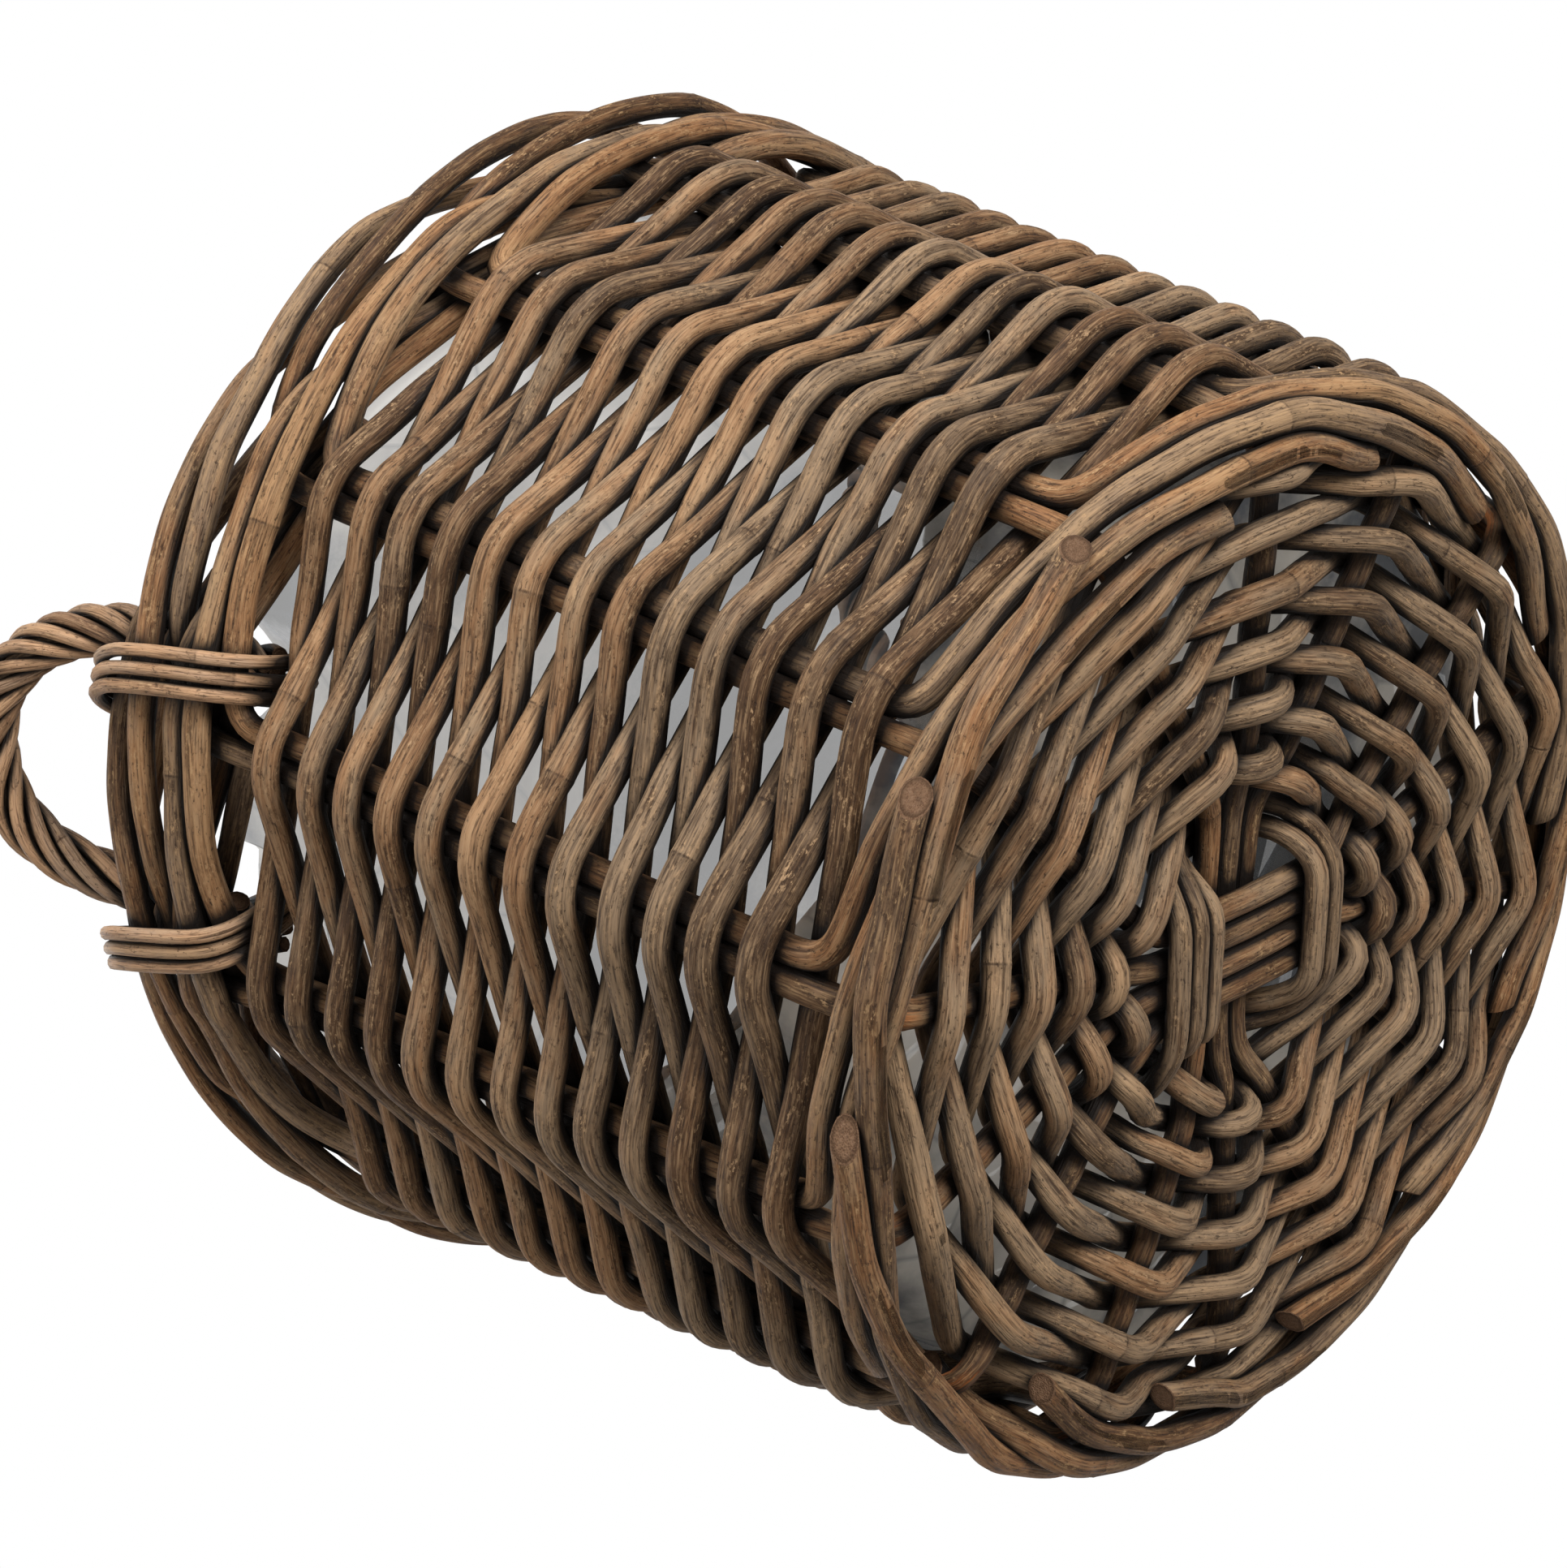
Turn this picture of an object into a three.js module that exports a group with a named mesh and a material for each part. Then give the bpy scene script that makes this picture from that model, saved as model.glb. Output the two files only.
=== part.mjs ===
import * as THREE from 'three';

// Round rattan basket with two roped handles and a thin film liner.
// Millimetres, +Z up, opening up, centred on Z, resting on Z = 0, handles at +X and -X.

// Base sticks: four along X lie under three along Y, each end kinks up into the wall
const STICKS = [
  { ends: [0, 10], along: 'x', shift: -1.5 },
  { ends: [1, 9], along: 'x', shift: -0.5 },
  { ends: [2, 8], along: 'x', shift: 0.5 },
  { ends: [3, 7], along: 'x', shift: 1.5 },
  { ends: [13, 4], along: 'y', shift: -1 },
  { ends: [12, 5], along: 'y', shift: 0 },
  { ends: [11, 6], along: 'y', shift: 1 },
];
const PAIRS = 2 * STICKS.length;

// Driving sizes
const BASE_RADIUS = 216;
const RIM_RADIUS = 252;
const WALL_BELLY = 0.5;
const BASE_CROWN = 10;
const STAKE_ACROSS = 10;
const SIDE_STAKE_ACROSS = 9.4;
const WEAVER_DIAMETER = 11.4;
const BASE_WEAVER_ACROSS = 9.6;
const CLEARANCE = 0.3;
const ROWS = 25;
const RODS_PER_THREAD = 5;
const FOOT_TO_ROWS = 3;
const ROWS_TO_RIM = 12;
const BASE_START = 34;
const BASE_EDGE = 6;
const TIE_OUTSTAND = 7;
const TIE_ACROSS = 8.6;
const TIE_TURNS = 2;
const KINK_RADIUS = 12;
const STRAND_ACROSS = 5.4;
const STRANDS = 6;
const ROPE_CIRCLE = 8.6;
const ROPE_LAY = 105;
const LEG_SHIFT = 20;
const LEG_DEPTH = 46;
const LEG_SPREAD = 7;
const CANE_ACROSS = 5;
const CANE_TURNS = 3;
const CANE_GAP = 1.8;
const LINER_THICKNESS = 0.8;
const LINER_CORNER = 22;

// Facets
const WALL_STATIONS = 3;
const ROPE_STEPS = 20;
const STAKE_SIDES = 6;
const WEAVER_SIDES = 4;
const BASE_SIDES = 4;
const CANE_SIDES = 4;

// Path of a rod's end through the rolled rim: stake spacings travelled, outward, upward
const RIM_FRAME = [[0, 0, -28], [0.1, 1, -20], [0.25, 4.5, -12.3], [0.5, 12.5, -12], [0.75, 15.5, -8.5],
  [1, 17.5, -4], [1.25, 18.5, 0.5], [1.5, 18.5, 5], [1.75, 16.5, 10.5], [2, 12.5, 15], [2.3, 5, 17.3]];
const RIM_SIDE = [[0, 0, -50], [0.25, 6.5, -45], [0.5, 12.6, -41.5], [0.75, 14.8, -39.5], [1, 15.3, -37],
  [1.5, 15.2, -30.3], [2, 14, -25.3], [2.25, 10.2, -23.8], [2.4, 2.8, -22.8], [2.55, -4.5, -21.5],
  [2.75, -10.5, -20.5]];
// Path of a side stake through the foot border, from the wall round to the cut end under the base
const FOOT = [[0, 0, 26], [0.14, 5.5, 19], [0.5, 11.5, 12], [1, 11.5, 5], [1.5, 10.5, -1.5],
  [2, 8.5, -8], [2.5, 3.5, -12.2], [3, -3, -12.2], [3.5, -8.5, -12.2]];
// One turn of a binding round the rim and the inside of a handle leg: outward, upward, share of the slant
const BINDING_LOOP = [[-31, 0, 0.15], [-20, 18, 0], [-6, 27.3, 0.05], [9, 27.3, 0.25], [22, 18.5, 0.5],
  [27.4, 3, 0.7], [26.5, -14, 0.8], [23, -34, 0.9], [19, -47.2, 0.95], [12.5, -57.5, 1], [-6, -57.5, 1],
  [-33.8, -50, 1], [-33.3, -20, 0.6]];
// Half of a handle's arch, from the foot of a leg to the middle: outward, share of half its width, upward
const HANDLE_ARCH = [[-5, 1, -LEG_DEPTH], [-2.2, 1, -20], [-1, 1, 8], [3, 1.01, 26], [16, 0.97, 46],
  [28, 0.85, 66], [36.5, 0.64, 82], [41.5, 0.34, 92], [43, 0, 95]];

// Derived sizes
const STEP = 2 * Math.PI / PAIRS;
// The rolls and the binding are drawn for stakes of 10 mm and 9.4 mm and grow with them
const ROLL = Math.max(STAKE_ACROSS / 10, SIDE_STAKE_ACROSS / 9.4);
const STAKE_CORNER = STAKE_ACROSS / 2 / Math.cos(Math.PI / STAKE_SIDES);
const SIDE_CORNER = SIDE_STAKE_ACROSS / 2 / Math.cos(Math.PI / STAKE_SIDES);
const PAIR_SPREAD = (STAKE_CORNER + SIDE_CORNER + CLEARANCE) / 2;
const REST_CUT = SIDE_STAKE_ACROSS / 10;
const BASE_LEVEL = SIDE_STAKE_ACROSS / 2 - REST_CUT - ROLL * FOOT[FOOT.length - 1][2];
const WEAVER_RADIUS = WEAVER_DIAMETER / 2;
const ROW_PITCH = WEAVER_DIAMETER + CLEARANCE;
const SWING_IN = STAKE_ACROSS / 2 + WEAVER_RADIUS + 1.7 * CLEARANCE;
const SWING_OUT = SWING_IN + 5 * CLEARANCE;
const OUTER_FLAT = PAIR_SPREAD + 5 * CLEARANCE;
const FIRST_ROW = BASE_LEVEL + ROLL * FOOT[0][2] + FOOT_TO_ROWS;
const LAST_ROW = FIRST_ROW + ROWS * ROW_PITCH;
const RIM_LEVEL = LAST_ROW + ROWS_TO_RIM - ROLL * RIM_SIDE[0][2];
const WALL_HEIGHT = RIM_LEVEL - BASE_LEVEL;
const STICK_PITCH = 2 * STAKE_CORNER + 2 * CLEARANCE;
const STICK_HALF_GAP = (STAKE_ACROSS + CLEARANCE) / 2;
const TIE_START = 1.5 * STICK_PITCH + STAKE_CORNER + TIE_OUTSTAND;
const TIE_PITCH = TIE_ACROSS + 2 * CLEARANCE;
const TIE_REACH = TIE_START + TIE_TURNS * TIE_PITCH;
const STICK_STRAIGHT = TIE_REACH + 6;
const BASE_FIRST_ROW = STICK_STRAIGHT + BASE_START;
const BASE_LAST_ROW = BASE_RADIUS - KINK_RADIUS - BASE_EDGE;
const BASE_ROW_PITCH = BASE_WEAVER_ACROSS + 4 * CLEARANCE;
const BASE_TURNS = Math.floor((BASE_LAST_ROW - BASE_FIRST_ROW) / (2 * BASE_ROW_PITCH));
const CANE_PITCH = CANE_ACROSS + CANE_GAP;

const up = new THREE.Vector3(0, 0, 1);

function polar(angle, radius, z) {
  return new THREE.Vector3(radius * Math.cos(angle), radius * Math.sin(angle), z);
}

function pairAngle(index) {
  return (index - 1.5) * STEP;
}

function besidePair(index, side, radius) {
  return pairAngle(index) + side * PAIR_SPREAD / radius;
}

function wallRadiusAt(share) {
  return BASE_RADIUS + (RIM_RADIUS - BASE_RADIUS) * share + WALL_BELLY * 4 * share * (1 - share);
}

function wallRadius(z) {
  const share = Math.min(Math.max((z - BASE_LEVEL) / WALL_HEIGHT, 0), 1) * WALL_STATIONS;
  const station = Math.min(Math.floor(share), WALL_STATIONS - 1);
  const low = wallRadiusAt(station / WALL_STATIONS);
  const high = wallRadiusAt((station + 1) / WALL_STATIONS);
  return low + (high - low) * (share - station);
}

function material(name, color, roughness) {
  const made = new THREE.MeshStandardMaterial({ color, roughness, metalness: 0 });
  made.name = name;
  return made;
}

const rattan = material('rattan_weaver', 0x7a5f47, 0.75);
const stakeWood = material('rattan_stake', 0x664c38, 0.8);
const cane = material('handle_cane', 0x94735a, 0.65);
const film = material('liner_film', 0xcfd2d6, 0.35);

// A closed rod with mitred corners along a centreline; facing sets which way its flats look
function rod(centreline, facings, corner, sides, halfTurn) {
  const count = centreline.length;
  const directions = [];
  for (let i = 0; i < count - 1; i += 1) {
    directions.push(new THREE.Vector3().subVectors(centreline[i + 1], centreline[i]).normalize());
  }
  const positions = [];
  for (let i = 0; i < count; i += 1) {
    const before = directions[Math.max(i - 1, 0)];
    const after = directions[Math.min(i, count - 2)];
    const plane = new THREE.Vector3().addVectors(before, after).normalize();
    for (let j = 0; j < sides; j += 1) {
      const angle = 2 * Math.PI * (j + (halfTurn ? 0.5 : 0)) / sides;
      const corners = [before, after].map((direction) => {
        const front = facings[i].clone().addScaledVector(direction, -facings[i].dot(direction)).normalize();
        const across = new THREE.Vector3().crossVectors(direction, front);
        const offset = front.multiplyScalar(corner * Math.cos(angle));
        offset.addScaledVector(across, corner * Math.sin(angle));
        return offset.addScaledVector(direction, -offset.dot(plane) / direction.dot(plane));
      });
      positions.push(corners[0].add(corners[1]).multiplyScalar(0.5).add(centreline[i]));
    }
  }
  const index = [];
  for (let i = 0; i < count - 1; i += 1) {
    for (let j = 0; j < sides; j += 1) {
      const next = (j + 1) % sides;
      const a = i * sides + j;
      const b = i * sides + next;
      index.push(a, b, b + sides, a, b + sides, a + sides);
    }
  }
  for (let j = 1; j < sides - 1; j += 1) {
    const end = (count - 1) * sides;
    index.push(0, j + 1, j, end, end + j, end + j + 1);
  }
  return solid(positions, index);
}

function solid(positions, index) {
  const geometry = new THREE.BufferGeometry();
  const numbers = positions.flatMap((p) => p.toArray());
  geometry.setAttribute('position', new THREE.Float32BufferAttribute(numbers, 3));
  geometry.setIndex(index);
  geometry.computeVertexNormals();
  return geometry;
}

const group = new THREE.Group();
group.name = 'round_basket';

function add(name, geometry, finish) {
  const mesh = new THREE.Mesh(geometry, finish);
  mesh.name = name;
  group.add(mesh);
  return mesh;
}

// A path whose every point carries the direction its flats look
class Path {
  constructor() {
    this.points = [];
    this.facings = [];
  }

  to(point, facing) {
    this.points.push(point);
    this.facings.push(facing);
    return this;
  }

  append(other, reversed) {
    const order = other.points.map((point, i) => [point, other.facings[i]]);
    if (reversed) order.reverse();
    order.forEach(([point, facing]) => this.to(point.clone(), facing.clone()));
    return this;
  }
}

function inward(angle) {
  return polar(angle, -1, 0);
}

// Wall and rim part of one stake of a pair; side -1 is the frame rod, +1 the side stake
function risingPart(index, side, table, lowest) {
  const path = new Path();
  const start = RIM_LEVEL + ROLL * table[0][2];
  for (let station = 1; station <= WALL_STATIONS; station += 1) {
    const z = BASE_LEVEL + WALL_HEIGHT * station / WALL_STATIONS;
    if (z > lowest + 5 && z < start - 5) {
      const radius = wallRadius(z);
      const angle = besidePair(index, side, radius);
      path.to(polar(angle, radius, z), inward(angle));
    }
  }
  const rimRadius = wallRadius(start);
  const angle = besidePair(index, side, rimRadius);
  for (const [travel, out, rise] of table) {
    const here = angle + travel * STEP;
    path.to(polar(here, rimRadius + ROLL * out, RIM_LEVEL + ROLL * rise), inward(here));
  }
  return path;
}

// The crossing sticks of the base
function baseLevel(radius) {
  return BASE_LEVEL + BASE_CROWN * Math.max(0, 1 - radius / (BASE_RADIUS - KINK_RADIUS));
}

function spoke(stick, end) {
  const index = stick.ends[end];
  const under = stick.along === 'x';
  const sign = end === 0 ? 1 : -1;
  const flip = under ? sign : -sign;
  const layer = (under ? -1 : 1) * STICK_HALF_GAP;
  const aside = stick.shift * STICK_PITCH * (under ? 1 : -1);
  const start = under
    ? new THREE.Vector3(flip * STICK_STRAIGHT, aside, 0)
    : new THREE.Vector3(aside, flip * STICK_STRAIGHT, 0);
  const edgeRadius = BASE_RADIUS - KINK_RADIUS;
  const edge = polar(besidePair(index, -1, edgeRadius), edgeRadius, 0);
  const join = start.clone().lerp(edge, 0.17);
  start.z = baseLevel(start.length()) + layer;
  join.z = baseLevel(join.length());
  edge.z = baseLevel(edgeRadius);
  return { index, start, join, edge };
}

const spokes = new Array(PAIRS);
STICKS.forEach((stick, number) => {
  const path = new Path();
  for (const end of [0, 1]) {
    const part = spoke(stick, end);
    spokes[part.index] = part;
    const arm = new Path();
    arm.to(part.start, up).to(part.join, up).to(part.edge, up);
    const bendRadius = BASE_RADIUS - 0.29 * KINK_RADIUS;
    const bendAngle = besidePair(part.index, -1, bendRadius);
    const bendFacing = up.clone().add(inward(bendAngle));
    arm.to(polar(bendAngle, bendRadius, BASE_LEVEL + 0.29 * KINK_RADIUS), bendFacing);
    const footAngle = besidePair(part.index, -1, BASE_RADIUS);
    const footLevel = BASE_LEVEL + KINK_RADIUS;
    arm.to(polar(footAngle, wallRadius(footLevel), footLevel), inward(footAngle));
    arm.append(risingPart(part.index, -1, RIM_FRAME, footLevel), false);
    path.append(arm, end === 0);
  }
  add(`frame_rod_${number + 1}`, rod(path.points, path.facings, STAKE_CORNER, STAKE_SIDES, true), stakeWood);
});

// Side stakes: from the cut end under the base, round the foot, up the wall, into the rim
for (let index = 0; index < PAIRS; index += 1) {
  const path = new Path();
  const startAngle = besidePair(index, 1, BASE_RADIUS);
  for (const [travel, out, rise] of FOOT.slice().reverse()) {
    const angle = startAngle + travel * STEP;
    const level = BASE_LEVEL + ROLL * rise;
    const radius = travel === 0 ? wallRadius(level) : BASE_RADIUS + ROLL * out;
    const underneath = travel > 2.2;
    path.to(polar(angle, radius, level), underneath ? up : inward(angle));
  }
  path.append(risingPart(index, 1, RIM_SIDE, BASE_LEVEL + ROLL * FOOT[0][2]), false);
  const geometry = rod(path.points, path.facings, SIDE_CORNER, STAKE_SIDES, true);
  const position = geometry.getAttribute('position');
  for (let i = 0; i < position.count; i += 1) {
    position.setZ(i, Math.max(position.getZ(i), 0));
  }
  add(`side_stake_${index + 1}`, geometry, stakeWood);
}

// Wall weavers: two threads half a turn apart, each passing outside every other pair
const FIRST_PAIR_INDEX = 5;

function wallThread(thread, from, to) {
  const path = new Path();
  const firstPair = FIRST_PAIR_INDEX + thread * PAIRS / 2;
  for (let n = from; n <= to; n += 1) {
    const angle = pairAngle(firstPair + n);
    const z = FIRST_ROW + n * 2 * ROW_PITCH / PAIRS;
    const outside = n % 2 === 1;
    const radius = wallRadius(z);
    if (outside) {
      const slide = polar(angle + Math.PI / 2, OUTER_FLAT, 0);
      const peak = polar(angle, radius + SWING_OUT, z);
      path.to(peak.clone().sub(slide), up).to(peak.add(slide), up);
    } else {
      path.to(polar(angle, radius - SWING_IN, z), up);
    }
  }
  return path;
}

function trimEnds(path, startLength, endLength) {
  const p = path.points;
  const last = p.length - 1;
  p[0].add(new THREE.Vector3().subVectors(p[1], p[0]).normalize().multiplyScalar(startLength));
  p[last].add(new THREE.Vector3().subVectors(p[last - 1], p[last]).normalize().multiplyScalar(endLength));
  return path;
}

const STEPS_PER_THREAD = PAIRS * ROWS / 2;
for (let thread = 0; thread < 2; thread += 1) {
  let from = 0;
  for (let part = 0; part < RODS_PER_THREAD; part += 1) {
    const to = 2 * Math.round(STEPS_PER_THREAD * (part + 1) / RODS_PER_THREAD / 2);
    const path = trimEnds(wallThread(thread, from, to), CLEARANCE, CLEARANCE);
    const name = `wall_weaver_${thread === 0 ? 'a' : 'b'}_${part + 1}`;
    add(name, rod(path.points, path.facings, WEAVER_RADIUS, WEAVER_SIDES, false), rattan);
    from = to;
  }
}

// Base weavers: two flat spirals, each passing under every other spoke
const BASE_CORNER = BASE_WEAVER_ACROSS / 2 / Math.cos(Math.PI / BASE_SIDES);

function spokeAt(index, radius) {
  const { join, edge } = spokes[((index % PAIRS) + PAIRS) % PAIRS];
  const flat = new THREE.Vector3(join.x, join.y, 0);
  const run = new THREE.Vector3(edge.x - join.x, edge.y - join.y, 0);
  const a = run.lengthSq();
  const b = 2 * flat.dot(run);
  const c = flat.lengthSq() - radius * radius;
  const share = (-b + Math.sqrt(b * b - 4 * a * c)) / (2 * a);
  return flat.addScaledVector(run, share).setZ(baseLevel(radius));
}

function spokeDirection(index) {
  const { join, edge } = spokes[index % PAIRS];
  return new THREE.Vector3(edge.x - join.x, edge.y - join.y, 0).normalize();
}

const BASE_STEPS = BASE_TURNS * PAIRS;
for (let thread = 0; thread < 2; thread += 1) {
  const path = new Path();
  const firstPair = FIRST_PAIR_INDEX + thread * PAIRS / 2;
  for (let n = 0; n <= BASE_STEPS; n += 1) {
    const share = n / BASE_STEPS;
    const radius = BASE_FIRST_ROW + (BASE_LAST_ROW - BASE_FIRST_ROW) * share;
    const centre = spokeAt(firstPair + n, radius);
    const swing = (STAKE_ACROSS + BASE_WEAVER_ACROSS) / 2 + (10.5 - 8.5 * share) * CLEARANCE;
    centre.z += n % 2 === 1 ? -swing : swing;
    const outward = spokeDirection(firstPair + n);
    const slide = new THREE.Vector3().crossVectors(up, outward).multiplyScalar(0.45 * STAKE_ACROSS);
    path.to(centre.clone().sub(slide), up).to(centre.clone().add(slide), up);
  }
  const name = `base_weaver_${thread === 0 ? 'a' : 'b'}`;
  add(name, rod(path.points, path.facings, BASE_CORNER, BASE_SIDES, true), rattan);
}

// One rod wound round the crossing of the sticks: under the four, over the three
const TIE_CORNER = TIE_ACROSS / 2 / Math.cos(Math.PI / BASE_SIDES);
const TIE_SWING = STICK_HALF_GAP + (STAKE_ACROSS + TIE_ACROSS) / 2 + 3 * CLEARANCE;
const TURN_POINTS = 12;
{
  const path = new Path();
  const centreLevel = baseLevel(TIE_REACH);
  const besideThree = STICK_PITCH + STAKE_CORNER + TIE_ACROSS / 2;
  const besideFour = besideThree + STICK_PITCH / 2;
  for (let i = 0; i <= TIE_TURNS * TURN_POINTS + 1; i += 1) {
    const x = TIE_START + TIE_PITCH * i / TURN_POINTS;
    const y = x + STICK_PITCH / 2;
    const cornerX = x - TIE_ACROSS / 4;
    const cornerY = y - TIE_ACROSS / 3;
    const spots = [[x, -besideFour, -1], [x, besideFour, -1], [cornerX, cornerY, 0],
      [besideThree, y, 1], [-besideThree, y, 1], [-cornerX, cornerY, 0],
      [-x, besideFour, -1], [-x, -besideFour, -1], [-cornerX, -cornerY, 0],
      [-besideThree, -y, 1], [besideThree, -y, 1], [cornerX, -cornerY, 0]];
    const [atX, atY, side] = spots[i % TURN_POINTS];
    path.to(new THREE.Vector3(atX, atY, centreLevel + side * TIE_SWING), up);
  }
  add('base_tie', rod(path.points, path.facings, TIE_CORNER, BASE_SIDES, true), rattan);
}

// Roped handles: a core rod with six strands laid round it, legs just inside the rim
const ROPE_RADIUS = ROPE_CIRCLE + STRAND_ACROSS / 2;
const STRAND_CORNER = STRAND_ACROSS / 2 / Math.cos(Math.PI / CANE_SIDES);
const CORE_CORNER = ROPE_CIRCLE - STRAND_ACROSS / 2 - 2 * CLEARANCE;
const LEG_OUT = -STAKE_CORNER - ROPE_RADIUS + 0.2;

function handleCurve(middle) {
  const outward = polar(middle, 1, 0);
  const along = polar(middle + Math.PI / 2, 1, 0);
  const legRadius = RIM_RADIUS + LEG_OUT;
  const inset = legRadius * Math.cos(STEP / 2);
  const half = legRadius * Math.sin(STEP / 2) + LEG_SPREAD;
  const place = ([out, share, rise], side) => outward.clone().multiplyScalar(inset + out)
    .addScaledVector(along, side * half * share).setZ(RIM_LEVEL + rise);
  const up1 = HANDLE_ARCH.map((row) => place(row, 1));
  const down = HANDLE_ARCH.slice(0, -1).map((row) => place(row, -1)).reverse();
  return { curve: new THREE.CatmullRomCurve3([...up1, ...down], false, 'centripetal'), outward };
}

function ropePath(curve, outward, circle, turn) {
  const path = new Path();
  const length = curve.getLength();
  for (let i = 0; i <= ROPE_STEPS; i += 1) {
    const share = i / ROPE_STEPS;
    const centre = curve.getPointAt(share);
    const direction = curve.getTangentAt(share);
    const side = outward.clone().addScaledVector(direction, -outward.dot(direction)).normalize();
    const other = new THREE.Vector3().crossVectors(direction, side);
    const angle = turn + 2 * Math.PI * (share - 0.5) * length / ROPE_LAY;
    const offset = side.multiplyScalar(Math.cos(angle)).addScaledVector(other, Math.sin(angle));
    path.to(centre.addScaledVector(offset, circle), offset.clone().negate());
  }
  return path;
}

[['right', 1], ['left', 8]].forEach(([side, firstPair]) => {
  const middle = pairAngle(firstPair + 0.5) + LEG_SHIFT / RIM_RADIUS;
  const { curve, outward } = handleCurve(middle);
  const core = ropePath(curve, outward, 0, 0);
  add(`handle_${side}_core`, rod(core.points, core.facings, CORE_CORNER, STAKE_SIDES, true), rattan);
  for (let strand = 0; strand < STRANDS; strand += 1) {
    const path = ropePath(curve, outward, ROPE_CIRCLE, 2 * Math.PI * strand / STRANDS);
    const geometry = rod(path.points, path.facings, STRAND_CORNER, CANE_SIDES, true);
    add(`handle_${side}_strand_${strand + 1}`, geometry, cane);
  }
});

// Cane bindings: three turns round the rolled rim and a handle leg
const CANE_CORNER = CANE_ACROSS / 2 / Math.cos(Math.PI / CANE_SIDES);
const BINDING_WIDTH = CANE_PITCH * CANE_TURNS;
const BINDING_BOTTOM = PAIR_SPREAD + SIDE_CORNER + CANE_CORNER + 5 * CLEARANCE;

const BINDINGS = [['right_a', 1, -1, 1], ['right_b', 2, 1, 7], ['left_a', 8, -1, 1], ['left_b', 9, 1, 7]];
BINDINGS.forEach(([place, index, leg, standoff]) => {
  const path = new Path();
  const turnPoints = BINDING_LOOP.length;
  const legAside = LEG_SHIFT + leg * LEG_SPREAD;
  const top = legAside - ROPE_RADIUS - CANE_CORNER - BINDING_WIDTH - standoff;
  for (let i = 0; i <= CANE_TURNS * turnPoints - 2; i += 1) {
    const [out, rise, slant] = BINDING_LOOP[i % turnPoints];
    const aside = top + (BINDING_BOTTOM - top) * slant + CANE_PITCH * i / turnPoints;
    const angle = pairAngle(index) + aside / RIM_RADIUS;
    const facing = polar(angle, out - 8, 0).setZ(rise + 10).negate();
    path.to(polar(angle, RIM_RADIUS + ROLL * out, RIM_LEVEL + ROLL * rise), facing);
  }
  add(`binding_${place}`, rod(path.points, path.facings, CANE_CORNER, CANE_SIDES, true), cane);
});

// Film liner: a thin cup with a corner against every pair of stakes
{
  const inset = SWING_IN + WEAVER_RADIUS + 4 * CLEARANCE;
  const floor = baseLevel(TIE_REACH) + TIE_SWING + TIE_ACROSS / 2 + 3 * CLEARANCE;
  const levels = [floor + LINER_CORNER];
  for (let station = 1; station < WALL_STATIONS; station += 1) {
    levels.push(BASE_LEVEL + WALL_HEIGHT * station / WALL_STATIONS);
  }
  levels.push(LAST_ROW - WEAVER_RADIUS);
  const floorRadius = wallRadius(floor) - inset - LINER_CORNER / 2;
  const outer = [[floorRadius, floor], ...levels.map((z) => [wallRadius(z) - inset, z])];
  const inner = outer.map(([radius, z], i) => [radius - LINER_THICKNESS, i === 0 ? z + LINER_THICKNESS : z]);
  const rings = [...outer, ...inner.reverse()];
  const positions = [new THREE.Vector3(0, 0, floor)];
  rings.forEach(([radius, z]) => {
    for (let k = 0; k < PAIRS; k += 1) positions.push(polar(pairAngle(k), radius, z));
  });
  positions.push(new THREE.Vector3(0, 0, floor + LINER_THICKNESS));
  const index = [];
  const last = positions.length - 1;
  for (let k = 0; k < PAIRS; k += 1) {
    const next = (k + 1) % PAIRS;
    index.push(0, 1 + next, 1 + k);
    for (let ring = 0; ring < rings.length - 1; ring += 1) {
      const a = 1 + ring * PAIRS;
      const b = a + PAIRS;
      index.push(a + k, a + next, b + next, a + k, b + next, b + k);
    }
    const end = 1 + (rings.length - 1) * PAIRS;
    index.push(last, end + k, end + next);
  }
  add('liner', solid(positions, index), film);
}

export default group;
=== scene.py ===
"""Round rattan basket with two roped handles and a thin film liner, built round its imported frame."""

from __future__ import annotations

import itertools
import logging
import math
from dataclasses import dataclass, field
from enum import Enum

import bpy
import numpy as np
from mathutils import Euler, Matrix, Vector
from mathutils.kdtree import KDTree

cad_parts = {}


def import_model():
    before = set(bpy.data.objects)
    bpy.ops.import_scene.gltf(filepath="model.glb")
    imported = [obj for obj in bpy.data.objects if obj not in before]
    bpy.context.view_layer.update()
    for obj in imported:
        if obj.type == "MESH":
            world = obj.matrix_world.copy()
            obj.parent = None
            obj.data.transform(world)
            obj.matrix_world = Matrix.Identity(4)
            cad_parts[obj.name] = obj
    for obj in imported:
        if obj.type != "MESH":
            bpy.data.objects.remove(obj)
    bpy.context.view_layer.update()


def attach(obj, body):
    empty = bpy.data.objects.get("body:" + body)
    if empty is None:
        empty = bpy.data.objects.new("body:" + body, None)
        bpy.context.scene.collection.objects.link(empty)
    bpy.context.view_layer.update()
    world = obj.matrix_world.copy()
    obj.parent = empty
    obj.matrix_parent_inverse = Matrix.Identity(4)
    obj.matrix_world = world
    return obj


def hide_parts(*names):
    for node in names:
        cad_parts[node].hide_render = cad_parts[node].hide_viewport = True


Array = np.ndarray
Path = tuple[tuple[float, float, float], ...]
Log = logging.getLogger("basket")
MM = 0.001
UP = np.array([0.0, 0.0, 1.0])
LEVEL = np.array([1.0, 1.0, 0.0])
TAU = 2.0 * math.pi


class Skin(Enum):
    """Which rattan a rod is made of."""

    WEAVER = "rattan_weaver"
    STAKE = "rattan_stake"
    CANE = "handle_cane"


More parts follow.
